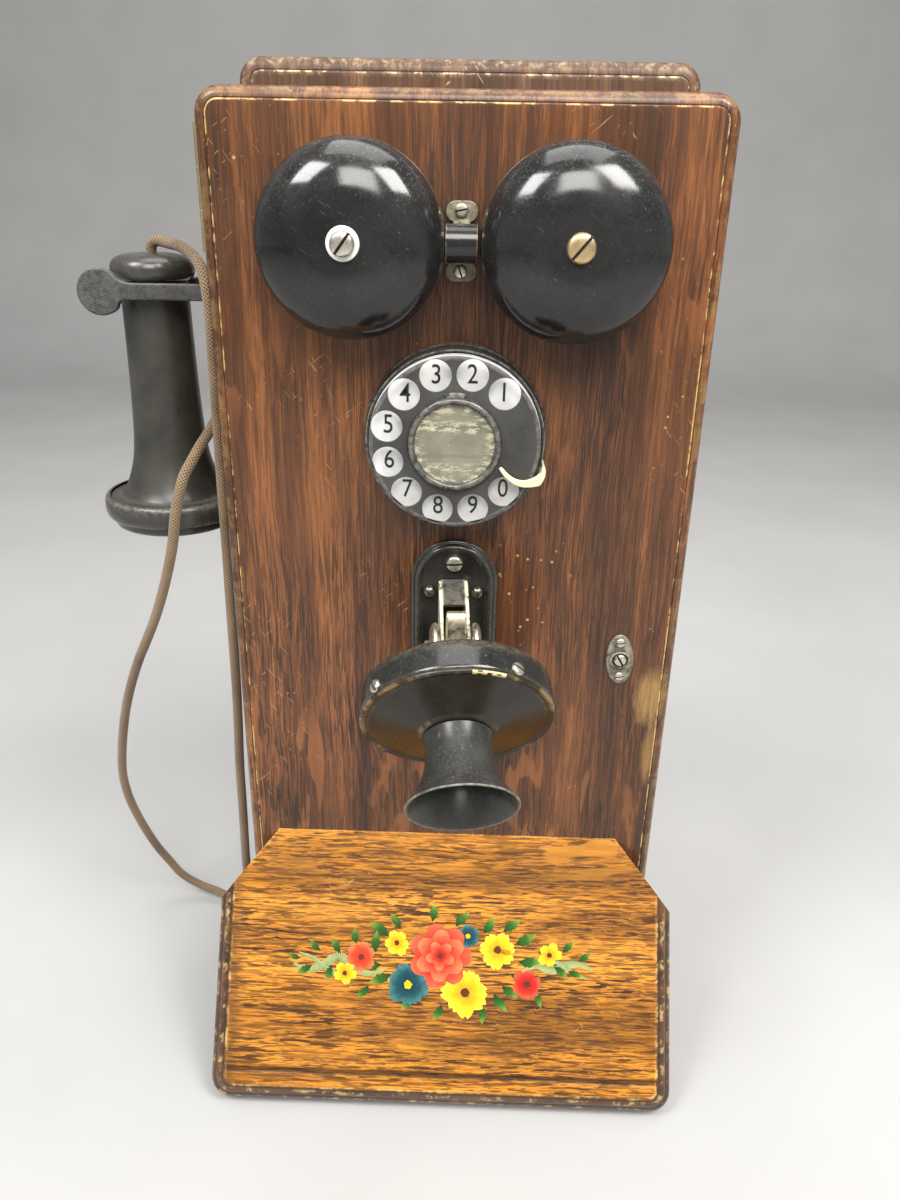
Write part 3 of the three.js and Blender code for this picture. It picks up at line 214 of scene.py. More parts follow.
def oak(name, dark, mid, light, fleck, along="Z", seed=0.0, fleck_amount=0.5, pore=0.5, rough=0.36, worn_col=(0.52, 0.36, 0.20), stain=None, coat=0.25, wear_lo=0.44, wear_hi=0.58,
        line=880, length=42, scuff=0.4, patches=(), fade_lo=0.45, spec=0.32, wear_scale=170, chips=()):
    n = Nodes(name)
    c0 = n.coord()
    def stretch(across, deep, long):
        return {"Z": (across, deep, long), "X": (long, deep, across), "Y": (across, long, deep)}[along]
    loc = (seed, seed * 0.7, seed * 1.3)
    c = n.warp(n.warp(c0, 9, 0.006, seed), 45, 0.0012, seed + 2)
    # broad and narrow bands of growth
    broad = n.noise(n.mapping(c, stretch(55, 30, 3.0), loc=loc), scale=1.0, detail=3, rough=0.5)
    band = n.noise(n.mapping(c, stretch(420, 160, 14), loc=loc), scale=1.0, detail=4, rough=0.6)
    t = n.math("ADD", n.math("MULTIPLY", broad, 0.62), n.math("MULTIPLY", band, 0.38))
    col = n.ramp(t, [(0.38, tuple(0.6 * a + 0.4 * b for a, b in zip(dark, mid))), (0.5, mid), (0.62, light)])
    # rays: smooth ribbons and islands across the grain, without pores
    ray = n.noise(n.mapping(c, stretch(120, 90, 26), rot=(0.0, 0.22, 0.0) if along == "Z" else (0, 0, 0), loc=(seed + 3, seed, seed)), scale=1.0, detail=2, rough=0.4, dist=0.7)
    big = n.noise(n.mapping(c, (11, 11, 8), loc=(seed * 2, 1, 4)), scale=1.0, detail=1)
    fm = n.math("MULTIPLY", n.ramp(ray, [(0.57, 0.0), (0.61, 1.0)]), n.ramp(big, [(0.46, 0.0), (0.6, 1.0)]))
    col = n.mix(n.math("MULTIPLY", fm, fleck_amount), col, fleck)
    # pores: close dark lines along the grain, coarse and fine
    l1 = n.noise(n.mapping(c, stretch(line, line * 0.45, length), loc=loc), scale=1.0, detail=2, rough=0.55)
    m1 = n.ramp(l1, [(0.465, 1.0), (0.51, 0.0)])
    l2 = n.noise(n.mapping(c, stretch(line * 1.7, line, length * 2.0), loc=(seed + 5, seed, 2)), scale=1.0, detail=1, rough=0.5)
    m2 = n.ramp(l2, [(0.42, 1.0), (0.48, 0.0)])
    fade = n.ramp(n.noise(n.mapping(c, stretch(30, 30, 12), loc=(seed + 8, 2, 1)), scale=1.0, detail=2), [(0.35, fade_lo), (0.65, 1.0)])
    keep = n.math("MULTIPLY", n.math("SUBTRACT", 1.0, n.math("MULTIPLY", fm, 0.8)), fade)
    pm = n.math("MULTIPLY", n.math("MAXIMUM", m1, n.math("MULTIPLY", m2, 0.7)), keep)
    soft = n.noise(n.mapping(c, stretch(line * 0.55, line * 0.3, length * 0.35), loc=(seed + 9, 1, seed)), scale=1.0, detail=3, rough=0.6)
    pm = n.math("MULTIPLY", pm, n.ramp(soft, [(0.36, 0.55), (0.58, 1.0)]))
    col = n.mix(n.math("MULTIPLY", pm, pore), col, dark)
    if stain is not None:
        st = n.noise(n.mapping(c0, stretch(24, 14, 9), loc=(seed, 5, 2)), scale=1.0, detail=5, rough=0.65)
        col = n.mix(n.math("MULTIPLY", n.ramp(st, [(0.5, 0.0), (0.7, 1.0)]), 0.42), col, stain)
    # a few fine scuffs, each short
    sa = n.noise(n.mapping(n.mapping(c0, rot=(0.0, 0.65, 0.0)), (1500, 300, 110), loc=(seed, 2, 1)), scale=1.0, detail=1, rough=0.4)
    sb = n.noise(n.mapping(n.mapping(c0, rot=(0.0, -0.9, 0.0)), (1700, 300, 140), loc=(seed, 7, 3)), scale=1.0, detail=1, rough=0.4)
    where = n.ramp(n.noise(n.mapping(c0, (16, 16, 16), loc=(seed, 3, 9)), scale=1.0, detail=2), [(0.5, 0.0), (0.66, 1.0)])
    sm = n.math("MULTIPLY", n.math("MAXIMUM", n.ramp(sa, [(0.735, 0.0), (0.76, 1.0)]), n.ramp(sb, [(0.74, 0.0), (0.765, 1.0)])), where)
    col = n.mix(n.math("MULTIPLY", sm, scuff), col, worn_col)
    # pin-point chips in clusters
    ch = n.voronoi(scale=330, rand=1.0)
    chm = n.math("MULTIPLY", n.ramp(ch, [(0.10, 1.0), (0.17, 0.0)]), n.ramp(n.noise(n.mapping(c0, (24, 24, 24), loc=(seed + 1, 4, 2)), scale=1.0, detail=3, rough=0.6), [(0.58, 0.0), (0.68, 1.0)]))
    for cc, cr in chips:
        d = n.length(n.mapping(c0, tuple(1 / r for r in cr), loc=tuple(-a / r for a, r in zip(cc, cr))))
        chm = n.math("MAXIMUM", chm, n.math("MULTIPLY", n.ramp(ch, [(0.16, 1.0), (0.26, 0.0)]), n.ramp(n.math("MULTIPLY", d, 0.5), [(0.2, 1.0), (0.5, 0.0)])))
    some = n.ramp(n.noise(n.mapping(c0, (210, 210, 210), loc=(seed, 1, 1)), scale=1.0, detail=1), [(0.56, 0.0), (0.6, 1.0)])
    chm = n.math("MULTIPLY", chm, some)
    col = n.mix(n.math("MULTIPLY", chm, scuff * 1.6, clamp=True), col, worn_col)
    for (pc, pr, amt, pcol) in patches:
        d = n.length(n.mapping(c0, tuple(1 / r for r in pr), loc=tuple(-a / r for a, r in zip(pc, pr))))
        d = n.math("ADD", d, n.math("MULTIPLY", n.noise(n.mapping(c0, stretch(420, 200, 120), loc=(seed, 4, 4)), scale=1.0, detail=4, rough=0.7), 1.3))
        pmk = n.math("MULTIPLY", n.ramp(n.math("MULTIPLY", d, 0.4), [(0.50, 1.0), (0.80, 0.0)]), amt, clamp=True)
        col = n.mix(pmk, col, n.mix(n.math("MULTIPLY", pm, 0.45), pcol, tuple(x * 0.35 for x in pcol)))
    col, wf = worn(n, col, worn_col, 1.0, wear_scale, wear_lo, wear_hi)
    # painted shade: the oak turns near black where the painted_shade attribute marks grooves, steps and recesses
    g = n.attr("painted_shade")
    col = n.mix(n.math("MULTIPLY", g, 0.8), col, (0.022, 0.013, 0.008))
    smudge = n.noise(n.mapping(c0, loc=(seed, 0, 0)), scale=22, detail=4, rough=0.6)
    r = n.math("ADD", n.ramp(smudge, [(0.3, rough - 0.05), (0.7, rough + 0.12)]), n.math("MULTIPLY", n.math("MAXIMUM", pm, wf), 0.16))
    hgt = n.math("MULTIPLY", pm, -0.9)
    hgt = n.math("SUBTRACT", hgt, n.math("MULTIPLY", n.math("MAXIMUM", sm, chm), 0.8))
    hgt = n.math("ADD", hgt, n.math("MULTIPLY", n.noise(n.mapping(c0, (60, 60, 40)), scale=1.0, detail=3), 0.8))
    return n.done(col, r, 0.0, n.bump(hgt, 0.4, 0.00016), coat=coat, coat_rough=0.16, spec=spec)

def black(name, base=(0.012, 0.012, 0.012), rough=0.14, dust=0.35, scratch=0.5, wear_color=(0.30, 0.28, 0.25), metal=0.0, seed=0.0, orange_peel=0.05, wear_amt=1.0, coat=0.0, spec=0.5, dust_col=(0.30, 0.28, 0.25), wear_scale=420, wear_lo=0.35, wear_hi=0.6):
    n = Nodes(name)
    c = n.coord()
    sm = n.noise(n.mapping(c, loc=(seed, 0, 0)), scale=45, detail=5, rough=0.65)
    col = n.ramp(sm, [(0.35, base), (0.75, tuple(min(1, b * 1.9 + 0.004) for b in base))])
    # dust lies on what faces up, and in specks everywhere
    up = n.ramp(n.normal_z(), [(0.1, 0.12), (0.95, 1.0)])
    dn = n.noise(n.mapping(c, loc=(seed + 2, 0, 0)), scale=900, detail=3, rough=0.8)
    dm = n.math("MULTIPLY", n.ramp(dn, [(0.56, 0.0), (0.75, 1.0)]), up)
    cloud = n.ramp(n.noise(n.mapping(c, loc=(seed + 4, 1, 0)), scale=70, detail=5, rough=0.7), [(0.45, 0.0), (0.8, 1.0)])
    dm = n.math("MULTIPLY", n.math("ADD", dm, n.math("MULTIPLY", cloud, n.math("MULTIPLY", up, 0.35))), dust, clamp=True)
    col = n.mix(dm, col, dust_col)
    s1 = n.noise(n.mapping(n.mapping(c, rot=(0.4, 0.9, 0.2)), (2600, 900, 90), loc=(seed, 3, 0)), scale=1.0, detail=1, rough=0.3)
    s2 = n.noise(n.mapping(n.mapping(c, rot=(0.9, -0.5, 1.1)), (2600, 1100, 110), loc=(seed, 0, 5)), scale=1.0, detail=1, rough=0.3)
    s = n.math("MAXIMUM", n.ramp(s1, [(0.75, 0.0), (0.78, 1.0)]), n.ramp(s2, [(0.755, 0.0), (0.785, 1.0)]))
    col = n.mix(n.math("MULTIPLY", s, 0.22 * scratch), col, (0.4, 0.38, 0.35))
    col, wf = worn(n, col, wear_color, wear_amt, wear_scale, wear_lo, wear_hi)
    r = n.math("ADD", n.ramp(sm, [(0.3, rough), (0.7, rough + 0.12)]), n.math("MULTIPLY", n.math("MAXIMUM", dm, s), 0.35), clamp=True)
    r = n.math("ADD", r, n.math("MULTIPLY", wf, 0.2), clamp=True)
    peel = n.noise(scale=700, detail=2)
    return n.done(col, r, metal, n.bump(n.math("SUBTRACT", peel, n.math("MULTIPLY", s, 0.6)), orange_peel, 0.0002), coat=coat, coat_rough=0.08, spec=spec)

def metal(name, base, rough=0.3, dark=(0.05, 0.04, 0.03), tarnish=0.5, seed=0.0, wear_color=None):
    n = Nodes(name)
    c = n.coord()
    t = n.noise(n.mapping(c, loc=(seed, 1, 2)), scale=330, detail=6, rough=0.7)
    f = n.math("MULTIPLY", n.ramp(t, [(0.42, 0.0), (0.68, 1.0)]), tarnish)
    col = n.mix(f, base, dark)
    if wear_color is not None:
        col, _ = worn(n, col, wear_color, 1.0, 500)
    # painted shade: darker where the painted_shade attribute is set
    g = n.attr("painted_shade")
    col = n.mix(g, col, (0.01, 0.009, 0.008))
    r = n.math("ADD", n.ramp(t, [(0.3, rough - 0.05), (0.7, rough + 0.22)]), 0.0, clamp=True)
    line = n.noise(n.mapping(c, (3000, 300, 300), rot=(0.3, 0.5, 0.7)), scale=1.0, detail=2)
    return n.done(col, r, n.math("SUBTRACT", 1.0, n.math("MULTIPLY", f, 0.45)), n.bump(n.math("ADD", line, t), 0.12, 0.0001))

# ------------------------------------------------------------------ mesh helpers (all take millimetres)
SC = bpy.context.scene
def make(name, verts, faces, mat, body, reps=(), slot=None, wear=None, painted_shade=None, sharp=38, mats=None, fmat=None, uvs=None, bevel=None, merge=True):
    me = bpy.data.meshes.new(name)
    me.from_pydata([(v[0] * MM, v[1] * MM, v[2] * MM) for v in verts], [], faces)
    # wear marks worn edges; painted_shade marks recesses that are painted darker as shade
    for label, vals in (("wear", wear), ("painted_shade", painted_shade)):
        a = me.attributes.new(label, "FLOAT", "POINT")
        if vals is not None:
            a.data.foreach_set("value", [float(v) for v in vals])
    for m in (mats or [mat]):
        me.materials.append(m)
    if fmat is not None:
        me.polygons.foreach_set("material_index", fmat)
    if uvs is not None:
        layer = me.uv_layers.new(name="UVMap")
        layer.data.foreach_set("uv", [c for f in me.polygons for vi in f.vertices for c in uvs[vi]])
    bm = bmesh.new()
    bm.from_mesh(me)
    if merge:
        bmesh.ops.remove_doubles(bm, verts=bm.verts, dist=1e-6)
    bmesh.ops.recalc_face_normals(bm, faces=bm.faces)
    lim = math.radians(sharp)
    for f in bm.faces:
        f.smooth = True
    for e in bm.edges:
        e.smooth = len(e.link_faces) == 2 and e.calc_face_angle(0) < lim
    bm.to_mesh(me)
    bm.free()
    ob = bpy.data.objects.new(name, me)
    SC.collection.objects.link(ob)
    if bevel:
        add_bevel(ob, bevel)
    if body:
        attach(ob, body)
    if reps:
        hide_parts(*reps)
    return ob

def add_bevel(ob, width, segs=2, angle=35):
    m = ob.modifiers.new("soft_edges", "BEVEL")
    m.width, m.segments, m.limit_method, m.angle_limit, m.harden_normals = width * MM, segs, "ANGLE", math.radians(angle), False
    m.use_clamp_overlap = True
    return m

def M_out(x, z, y=YF):
    """Local z runs out from the door."""
    return Matrix(((1, 0, 0, x), (0, 0, -1, y), (0, 1, 0, z), (0, 0, 0, 1)))
def M_askew():
    return Matrix.Translation((BX, YF - 2, 0)) @ Matrix.Rotation(LEAN, 4, "Z") @ Matrix.Translation((0, 2 - YF, 0))
def M_tilt():
    return M_askew() @ Matrix.Translation((0, PIVY, PIVZ)) @ Matrix.Rotation(TILT, 4, "X")
def M_cup():
    return M_tilt() @ Matrix.Translation((CUP_OFF, 0, 0)) @ Matrix.Rotation(SWING, 4, "Z")
def M_tx():
    return M_cup() @ Matrix(((1, 0, 0, 0), (0, 0, -1, 0), (0, 1, 0, 0), (0, 0, 0, 1)))

def lathe_data(prof, n, M, closed=False, a0=0.0):
    """Profile of (r, h, wear, painted shade); r 0 closes on the axis."""
    V, F, W, G, ring = [], [], [], [], []
    for p in prof:
        r, h = p[0], p[1]
        w, g = (p[2] if len(p) > 2 else 0), (p[3] if len(p) > 3 else 0)
        if r < 1e-6:
            ring.append([len(V)])
            V.append(M @ Vector((0, 0, h))); W.append(w); G.append(g)
        else:
            ring.append(list(range(len(V), len(V) + n)))
            for i in range(n):
                a = a0 + 2 * math.pi * i / n
                V.append(M @ Vector((r * math.cos(a), r * math.sin(a), h))); W.append(w); G.append(g)
    pairs = list(zip(ring[:-1], ring[1:]))
    if closed:
        pairs.append((ring[-1], ring[0]))
    for a, b in pairs:
        for i in range(n):
            j = (i + 1) % n
            if len(a) == 1 and len(b) == 1:
                continue
            if len(a) == 1:
                F.append((a[0], b[i], b[j]))
            elif len(b) == 1:
                F.append((a[i], a[j], b[0]))
            else:
                F.append((a[i], a[j], b[j], b[i]))
    return V, F, W, G

def lathe(name, prof, n, M, mat, body, closed=False, a0=0.0, **kw):
    V, F, W, G = lathe_data(prof, n, M, closed, a0)
    return make(name, V, F, mat, body, wear=W, painted_shade=G, **kw)

def smooth_prof(points, per=4):
    """Catmull-Rom through profile points, for soft turned shapes."""
    P = [points[0]] + list(points) + [points[-1]]
    out = []
    for i in range(1, len(P) - 2):
        for s in range(per):
            t = s / per
            row = []
            for k in range(len(points[0])):
                a, b, c, d = P[i - 1][k], P[i][k], P[i + 1][k], P[i + 2][k]
                row.append(0.5 * (2 * b + (c - a) * t + (2 * a - 5 * b + 4 * c - d) * t * t + (3 * b - a - 3 * c + d) * t ** 3))
            out.append(tuple(row))
    out.append(points[-1])
    return out

def rounded(x0, x1, z0, z1, r, per=8):
    r = max(r, 0.3)
    pts = []
    for cx, cz, a in ((x1 - r, z0 + r, -90), (x1 - r, z1 - r, 0), (x0 + r, z1 - r, 90), (x0 + r, z0 + r, 180)):
        for i in range(per + 1):
            t = math.radians(a + 90 * i / per)
            pts.append((cx + r * math.cos(t), cz + r * math.sin(t)))
    return pts

def rings_solid(name, rings, mat, body, wear, painted_shade, cap=True, **kw):
    """Rings of equal count, each a list of 3-D points, skinned and capped."""
    n = len(rings[0])
    V, F, W, G = [], [], [], []
    for r, w, g in zip(rings, wear, painted_shade):
        for p in r:
            V.append(p); W.append(w); G.append(g)
    for k in range(len(rings) - 1):
        for i in range(n):
            j = (i + 1) % n
            F.append((k * n + i, k * n + j, (k + 1) * n + j, (k + 1) * n + i))
    if cap:
        F.append(tuple(range(n)))
        F.append(tuple(range((len(rings) - 1) * n, len(rings) * n)))
    return make(name, V, F, mat, body, wear=W, painted_shade=G, **kw)

def prism(name, outline, y0, y1, mat, body, **kw):
    """Outline in x and z, from y0 to y1."""
    n = len(outline)
    V = [(x, y0, z) for x, z in outline] + [(x, y1, z) for x, z in outline]
    F = [tuple(range(n)), tuple(range(n, 2 * n))] + [(i, (i + 1) % n, n + (i + 1) % n, n + i) for i in range(n)]
    return make(name, V, F, mat, body, **kw)

def join(name, obs, body=None, reps=()):
    """Several unparented meshes become one piece."""
    dg = bpy.context.evaluated_depsgraph_get()
    bm = bmesh.new()
    mats, me = [], bpy.data.meshes.new(name)
    for o in obs:
        m = bpy.data.meshes.new_from_object(o.evaluated_get(dg))
        m.transform(o.matrix_world)
        idx = []
        for s in m.materials:
            if s not in mats:
                mats.append(s)
            idx.append(mats.index(s))
        for p in m.polygons:
            p.material_index = idx[p.material_index] if idx else 0
        bm.from_mesh(m)
    bm.to_mesh(me)
    bm.free()
    for s in mats:
        me.materials.append(s)
    for o in obs:
        bpy.data.objects.remove(o, do_unlink=True)
    ob = bpy.data.objects.new(name, me)
    SC.collection.objects.link(ob)
    if body:
        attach(ob, body)
    if reps:
        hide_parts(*reps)
    return ob

def carve(ob, cutters):
    """Boolean difference, applied; the cutters go."""
    bpy.context.view_layer.update()
    for c in cutters:
        m = ob.modifiers.new("cut", "BOOLEAN")
        m.operation, m.solver, m.object = "DIFFERENCE", "EXACT", c
        dg = bpy.context.evaluated_depsgraph_get()
        me = bpy.data.meshes.new_from_object(ob.evaluated_get(dg))
        ob.modifiers.remove(m)
        ob.data = me
        bpy.data.objects.remove(c, do_unlink=True)
    bm = bmesh.new()
    bm.from_mesh(ob.data)
    for e in bm.edges:
        e.smooth = len(e.link_faces) == 2 and e.calc_face_angle(0) < math.radians(38)
    bm.to_mesh(ob.data)
    bm.free()

def cyl_cutter(r, y0, y1, x, z, n=32):
    V, F, _, _ = lathe_data([(0, 0), (r, 0), (r, y1 - y0), (0, y1 - y0)], n, M_out(x, z, y1))
    return make("cutter", V, F, None, None, mats=[WHITE_MAT])
def box_cutter(x0, x1, y0, y1, z0, z1):
    V = [(x, y, z) for x in (x0, x1) for y in (y0, y1) for z in (z0, z1)]
    F = [(0, 1, 3, 2), (4, 6, 7, 5), (0, 4, 5, 1), (2, 3, 7, 6), (0, 2, 6, 4), (1, 5, 7, 3)]
    return make("cutter", V, F, None, None, mats=[WHITE_MAT])

def screw(name, M, r, head, mat, body, angle=0.0, dome=0.75, slot_w=0.24, slot_d=0.55, reps=(), base=0.0, n=32, shank=0.0):
    """Slotted head; its slot is cut square, with painted shade inside."""
    prof = [(0, base), (r, base), (r * 1.0, base + head * 0.35, 0.6), (r * 0.93, base + head * 0.62, 1.0)]
    for i in range(1, 6):
        t = i / 5
        prof.append((r * 0.93 * math.cos(t * math.pi / 2) if i < 5 else 0, base + head * (0.62 + 0.38 * math.sin(t * math.pi / 2) * dome + 0.38 * (1 - dome) * min(1, t * 3)), 0.2))
    V, F, W, G = lathe_data(prof, n, Matrix.Identity(4))
    body_ob = make(name, V, F, mat, None, wear=W, painted_shade=G, slot=None)
    top = base + head
    hw, L = r * slot_w / 2, r * 1.3
    V2 = [(x, y, z) for x in (-L, L) for y in (-hw, hw) for z in (top - head * slot_d, top + 2)]
    F2 = [(0, 1, 3, 2), (4, 6, 7, 5), (0, 4, 5, 1), (2, 3, 7, 6), (0, 2, 6, 4), (1, 5, 7, 3)]
    cutter = make("cutter", V2, F2, None, None, mats=[SLOT_HOLE_SHADE])
    cutter.rotation_euler = (0, 0, math.radians(angle))
    body_ob.data.materials.append(SLOT_HOLE_SHADE)
    carve(body_ob, [cutter])
    body_ob.data.transform(Matrix.Scale(1, 4))
    T = Matrix(M)
    T.translation = T.translation * MM
    body_ob.data.transform(T)
    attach(body_ob, body)
    if reps:
        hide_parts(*reps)
    return body_ob

# ------------------------------------------------------------------ materials
OAK = oak("oak_dark", (0.020, 0.010, 0.006), (0.112, 0.041, 0.015), (0.23, 0.084, 0.026), (0.31, 0.112, 0.036), "Z", 1.3, 0.42, 0.95, rough=0.30, worn_col=(0.66, 0.45, 0.17), coat=0.26, line=1250, length=48, chips=[((0.034, -0.045, 0.262), (0.022, 0.03, 0.036)), ((0.088, -0.045, 0.37), (0.008, 0.03, 0.06)), ((-0.08, -0.045, 0.43), (0.02, 0.03, 0.012))], wear_lo=0.47, wear_hi=0.56,
    patches=[((0.0935, -0.045, 0.2065), (0.0065, 0.02, 0.0130), 0.5, (0.46, 0.28, 0.09)), ((0.0955, -0.045, 0.176), (0.003, 0.02, 0.016), 0.4, (0.40, 0.24, 0.08))])
OAK_SIDE = oak("oak_side", (0.024, 0.010, 0.006), (0.10, 0.033, 0.012), (0.18, 0.062, 0.021), (0.27, 0.10, 0.035), "Z", 7.7, 0.18, 0.8, rough=0.34, worn_col=(0.50, 0.34, 0.15), coat=0.15, line=1150, length=52)
OAK_TOP = oak("oak_across", (0.024, 0.010, 0.006), (0.10, 0.033, 0.012), (0.18, 0.062, 0.021), (0.27, 0.10, 0.035), "X", 4.1, 0.2, 0.8, rough=0.40, worn_col=(0.50, 0.34, 0.15), coat=0.1, line=1150, length=52)
OAK_DIM = oak("oak_backboard", (0.030, 0.016, 0.009), (0.10, 0.046, 0.022), (0.19, 0.10, 0.052), (0.27, 0.15, 0.08), "Z", 2.9, 0.15, 0.7, rough=0.42, worn_col=(0.62, 0.50, 0.28), coat=0.1, wear_lo=0.50, wear_hi=0.60, scuff=0.9, wear_scale=260)
GOLD = oak("oak_golden", (0.034, 0.013, 0.005), (0.52, 0.200, 0.022), (0.66, 0.28, 0.036), (0.70, 0.33, 0.06), "X", 5.2, 0.2, 1.0, rough=0.26, worn_col=(0.84, 0.58, 0.20), stain=(0.24, 0.085, 0.016), coat=0.12, line=1050, length=80, scuff=0.25, wear_lo=0.46, wear_hi=0.56, fade_lo=0.8, spec=0.22,
    patches=[((-0.110, -0.100, 0.045), (0.007, 0.06, 0.12), 0.6, (0.10, 0.042, 0.014)), ((-0.080, -0.055, 0.112), (0.016, 0.02, 0.010), 0.35, (0.20, 0.08, 0.02))])
# much darker copy of the oak for the shelf's edge faces: painted shade on edges that face down and forward, with real
# wear on the beads
EDGE_OAK_SHADE = oak("oak_shelf_edge_shade", (0.020, 0.010, 0.006), (0.075, 0.030, 0.011), (0.15, 0.062, 0.022), (0.24, 0.10, 0.035), "X", 8.2, 0.25, 0.6, rough=0.26, worn_col=(0.70, 0.48, 0.17), coat=0.4, wear_lo=0.52, wear_hi=0.60)
ENAMEL = black("black_enamel", (0.007, 0.007, 0.0068), 0.085, 0.5, 0.35, (0.26, 0.25, 0.23), seed=0.3)
ENAMEL2 = black("black_japan", (0.011, 0.0105, 0.0095), 0.14, 0.32, 0.4, (0.42, 0.36, 0.24), seed=3.3)
HOOD_LUG = black("dusty_japan", (0.060, 0.052, 0.036), 0.34, 0.75, 0.6, (0.40, 0.35, 0.24), seed=4.4, orange_peel=0.2)
LATCH = black("latch_japan", (0.024, 0.022, 0.016), 0.22, 0.3, 0.6, (0.40, 0.36, 0.26), seed=7.4, orange_peel=0.2)
FACE = black("face_enamel", (0.015, 0.012, 0.008), 0.18, 0.20, 0.4, (0.50, 0.34, 0.14), seed=6.1, wear_scale=38, wear_lo=0.52, wear_hi=0.6, spec=0.35)
CUP = black("cup_enamel", (0.008, 0.008, 0.0075), 0.10, 0.22, 0.3, (0.42, 0.34, 0.20), seed=9.9)
CHEEK = black("cheek_worn", (0.012, 0.011, 0.010), 0.22, 0.2, 0.3, (0.60, 0.54, 0.40), seed=2.9, wear_scale=240, wear_lo=0.36, wear_hi=0.5)
BASE_BLK = black("dial_base_black", (0.010, 0.010, 0.010), 0.14, 0.3, 0.3, (0.42, 0.40, 0.34), seed=8.1)
WHEEL = black("dial_satin", (0.028, 0.0275, 0.025), 0.40, 0.5, 0.5, (0.20, 0.19, 0.17), seed=5.5, orange_peel=0.12)
RUBBER = black("ebonite", (0.026, 0.0245, 0.0195), 0.26, 0.3, 0.4, (0.14, 0.13, 0.10), seed=1.7, orange_peel=0.15, dust_col=(0.24, 0.22, 0.17))
RUBBER_GLOSS = black("ebonite_gloss", (0.018, 0.017, 0.014), 0.14, 0.34, 0.4, (0.2, 0.19, 0.16), seed=2.7, orange_peel=0.1)
HORN = black("mouthpiece_rubber", (0.020, 0.0195, 0.017), 0.24, 0.3, 1.4, (0.24, 0.23, 0.20), seed=9.2, orange_peel=0.12)
NICKEL = metal("nickel_worn", (0.66, 0.62, 0.53), 0.26, (0.20, 0.15, 0.08), 0.5, 1.1)
LINK = metal("link_worn_bright", (0.76, 0.68, 0.50), 0.30, (0.30, 0.21, 0.10), 0.5, 6.1)
NICKEL_DARK = metal("nickel_dark", (0.36, 0.33, 0.27), 0.30, (0.07, 0.055, 0.035), 0.6, 2.2)
STUD = metal("stud_dark", (0.17, 0.16, 0.135), 0.20, (0.04, 0.035, 0.025), 0.5, 8.2)
BRASS = metal("brass_aged", (0.66, 0.50, 0.27), 0.30, (0.22, 0.14, 0.06), 0.5, 3.1)
STEEL = metal("steel_plain", (0.42, 0.42, 0.42), 0.34, (0.12, 0.11, 0.10), 0.4, 4.5)
# near-black material for screw slots, the keyhole and the mouthpiece holes: painted shade
def _flat_dark():
    n = Nodes("slot_and_hole_shade")
    d = n.noise(scale=800, detail=3)
    return n.done(n.ramp(d, [(0.3, (0.010, 0.008, 0.006)), (0.7, (0.035, 0.028, 0.02))]), 0.7)
SLOT_HOLE_SHADE = _flat_dark()
def _white():
    n = Nodes("white_enamel")
    t = n.noise(scale=90, detail=5, rough=0.6)
    col = n.ramp(t, [(0.3, (0.68, 0.67, 0.64)), (0.7, (0.78, 0.775, 0.75))])
    sp = n.ramp(n.noise(scale=1400, detail=2), [(0.72, 0.0), (0.76, 1.0)])
    col = n.mix(n.math("MULTIPLY", sp, 0.5), col, (0.3, 0.27, 0.2))
    return n.done(col, n.ramp(t, [(0.3, 0.18), (0.7, 0.3)]), coat=0.3, coat_rough=0.1)
WHITE_MAT = _white()
def _ink():
    n = Nodes("digit_black")
    t = n.noise(scale=1500, detail=3)
    return n.done(n.ramp(t, [(0.3, (0.008, 0.008, 0.008)), (0.8, (0.03, 0.03, 0.028))]), 0.4)
INK = _ink()
def _cream():
    n = Nodes("cream_stop")
    t = n.noise(scale=260, detail=5, rough=0.7)
    col = n.ramp(t, [(0.3, (0.70, 0.62, 0.36)), (0.7, (0.80, 0.75, 0.52))])
    col, _ = worn(n, col, (0.36, 0.29, 0.15), 0.8, 500)
    return n.done(col, 0.36, normal=n.bump(t, 0.1, 0.0002), coat=0.2)
CREAM = _cream()
def _card():
    n = Nodes("number_card_celluloid")
    c = n.coord()
    big = n.noise(n.mapping(c, (60, 60, 60), loc=(3, 1, 2)), scale=1.0, detail=5, rough=0.65)
    col = n.ramp(big, [(0.3, (0.125, 0.12, 0.085)), (0.7, (0.21, 0.20, 0.145))])
    # flaked cream remains of the card, in ragged level bands
    x, y, z = n.sep(c)
    rag = n.noise(n.mapping(c, (210, 210, 620), loc=(1, 2, 3)), scale=1.0, detail=6, rough=0.75)
    band = n.math("SUBTRACT", 1.0, n.math("MULTIPLY", n.math("ABSOLUTE", n.math("SUBTRACT", z, (DZ + 7.0) * MM)), 300.0), clamp=True)
    band2 = n.math("SUBTRACT", 1.0, n.math("MULTIPLY", n.math("ABSOLUTE", n.math("SUBTRACT", z, (DZ - 9.5) * MM)), 420.0), clamp=True)
    m = n.math("MULTIPLY", n.ramp(rag, [(0.51, 0.0), (0.56, 1.0)]), n.math("MAXIMUM", band, n.math("MULTIPLY", band2, 0.8)))
    m = n.math("ADD", m, n.math("MULTIPLY", n.ramp(rag, [(0.64, 0.0), (0.67, 1.0)]), 0.6), clamp=True)
    edge = n.attr("wear")
    m = n.math("MAXIMUM", m, n.math("MULTIPLY", edge, n.ramp(rag, [(0.5, 0.0), (0.55, 1.0)])))
    col = n.mix(n.math("MULTIPLY", m, 0.85), col, (0.60, 0.55, 0.36))
    lines = n.wave(n.mapping(c, (1, 1, 1)), scale=26, direction="Z")
    col = n.mix(n.math("MULTIPLY", n.ramp(lines, [(0.0, 1.0), (0.06, 0.0)]), 0.35), col, (0.09, 0.085, 0.06))
    return n.done(col, n.ramp(big, [(0.3, 0.12), (0.7, 0.28)]), normal=n.bump(m, 0.25, 0.0002), coat=0.6, coat_rough=0.06)
CARD = _card()
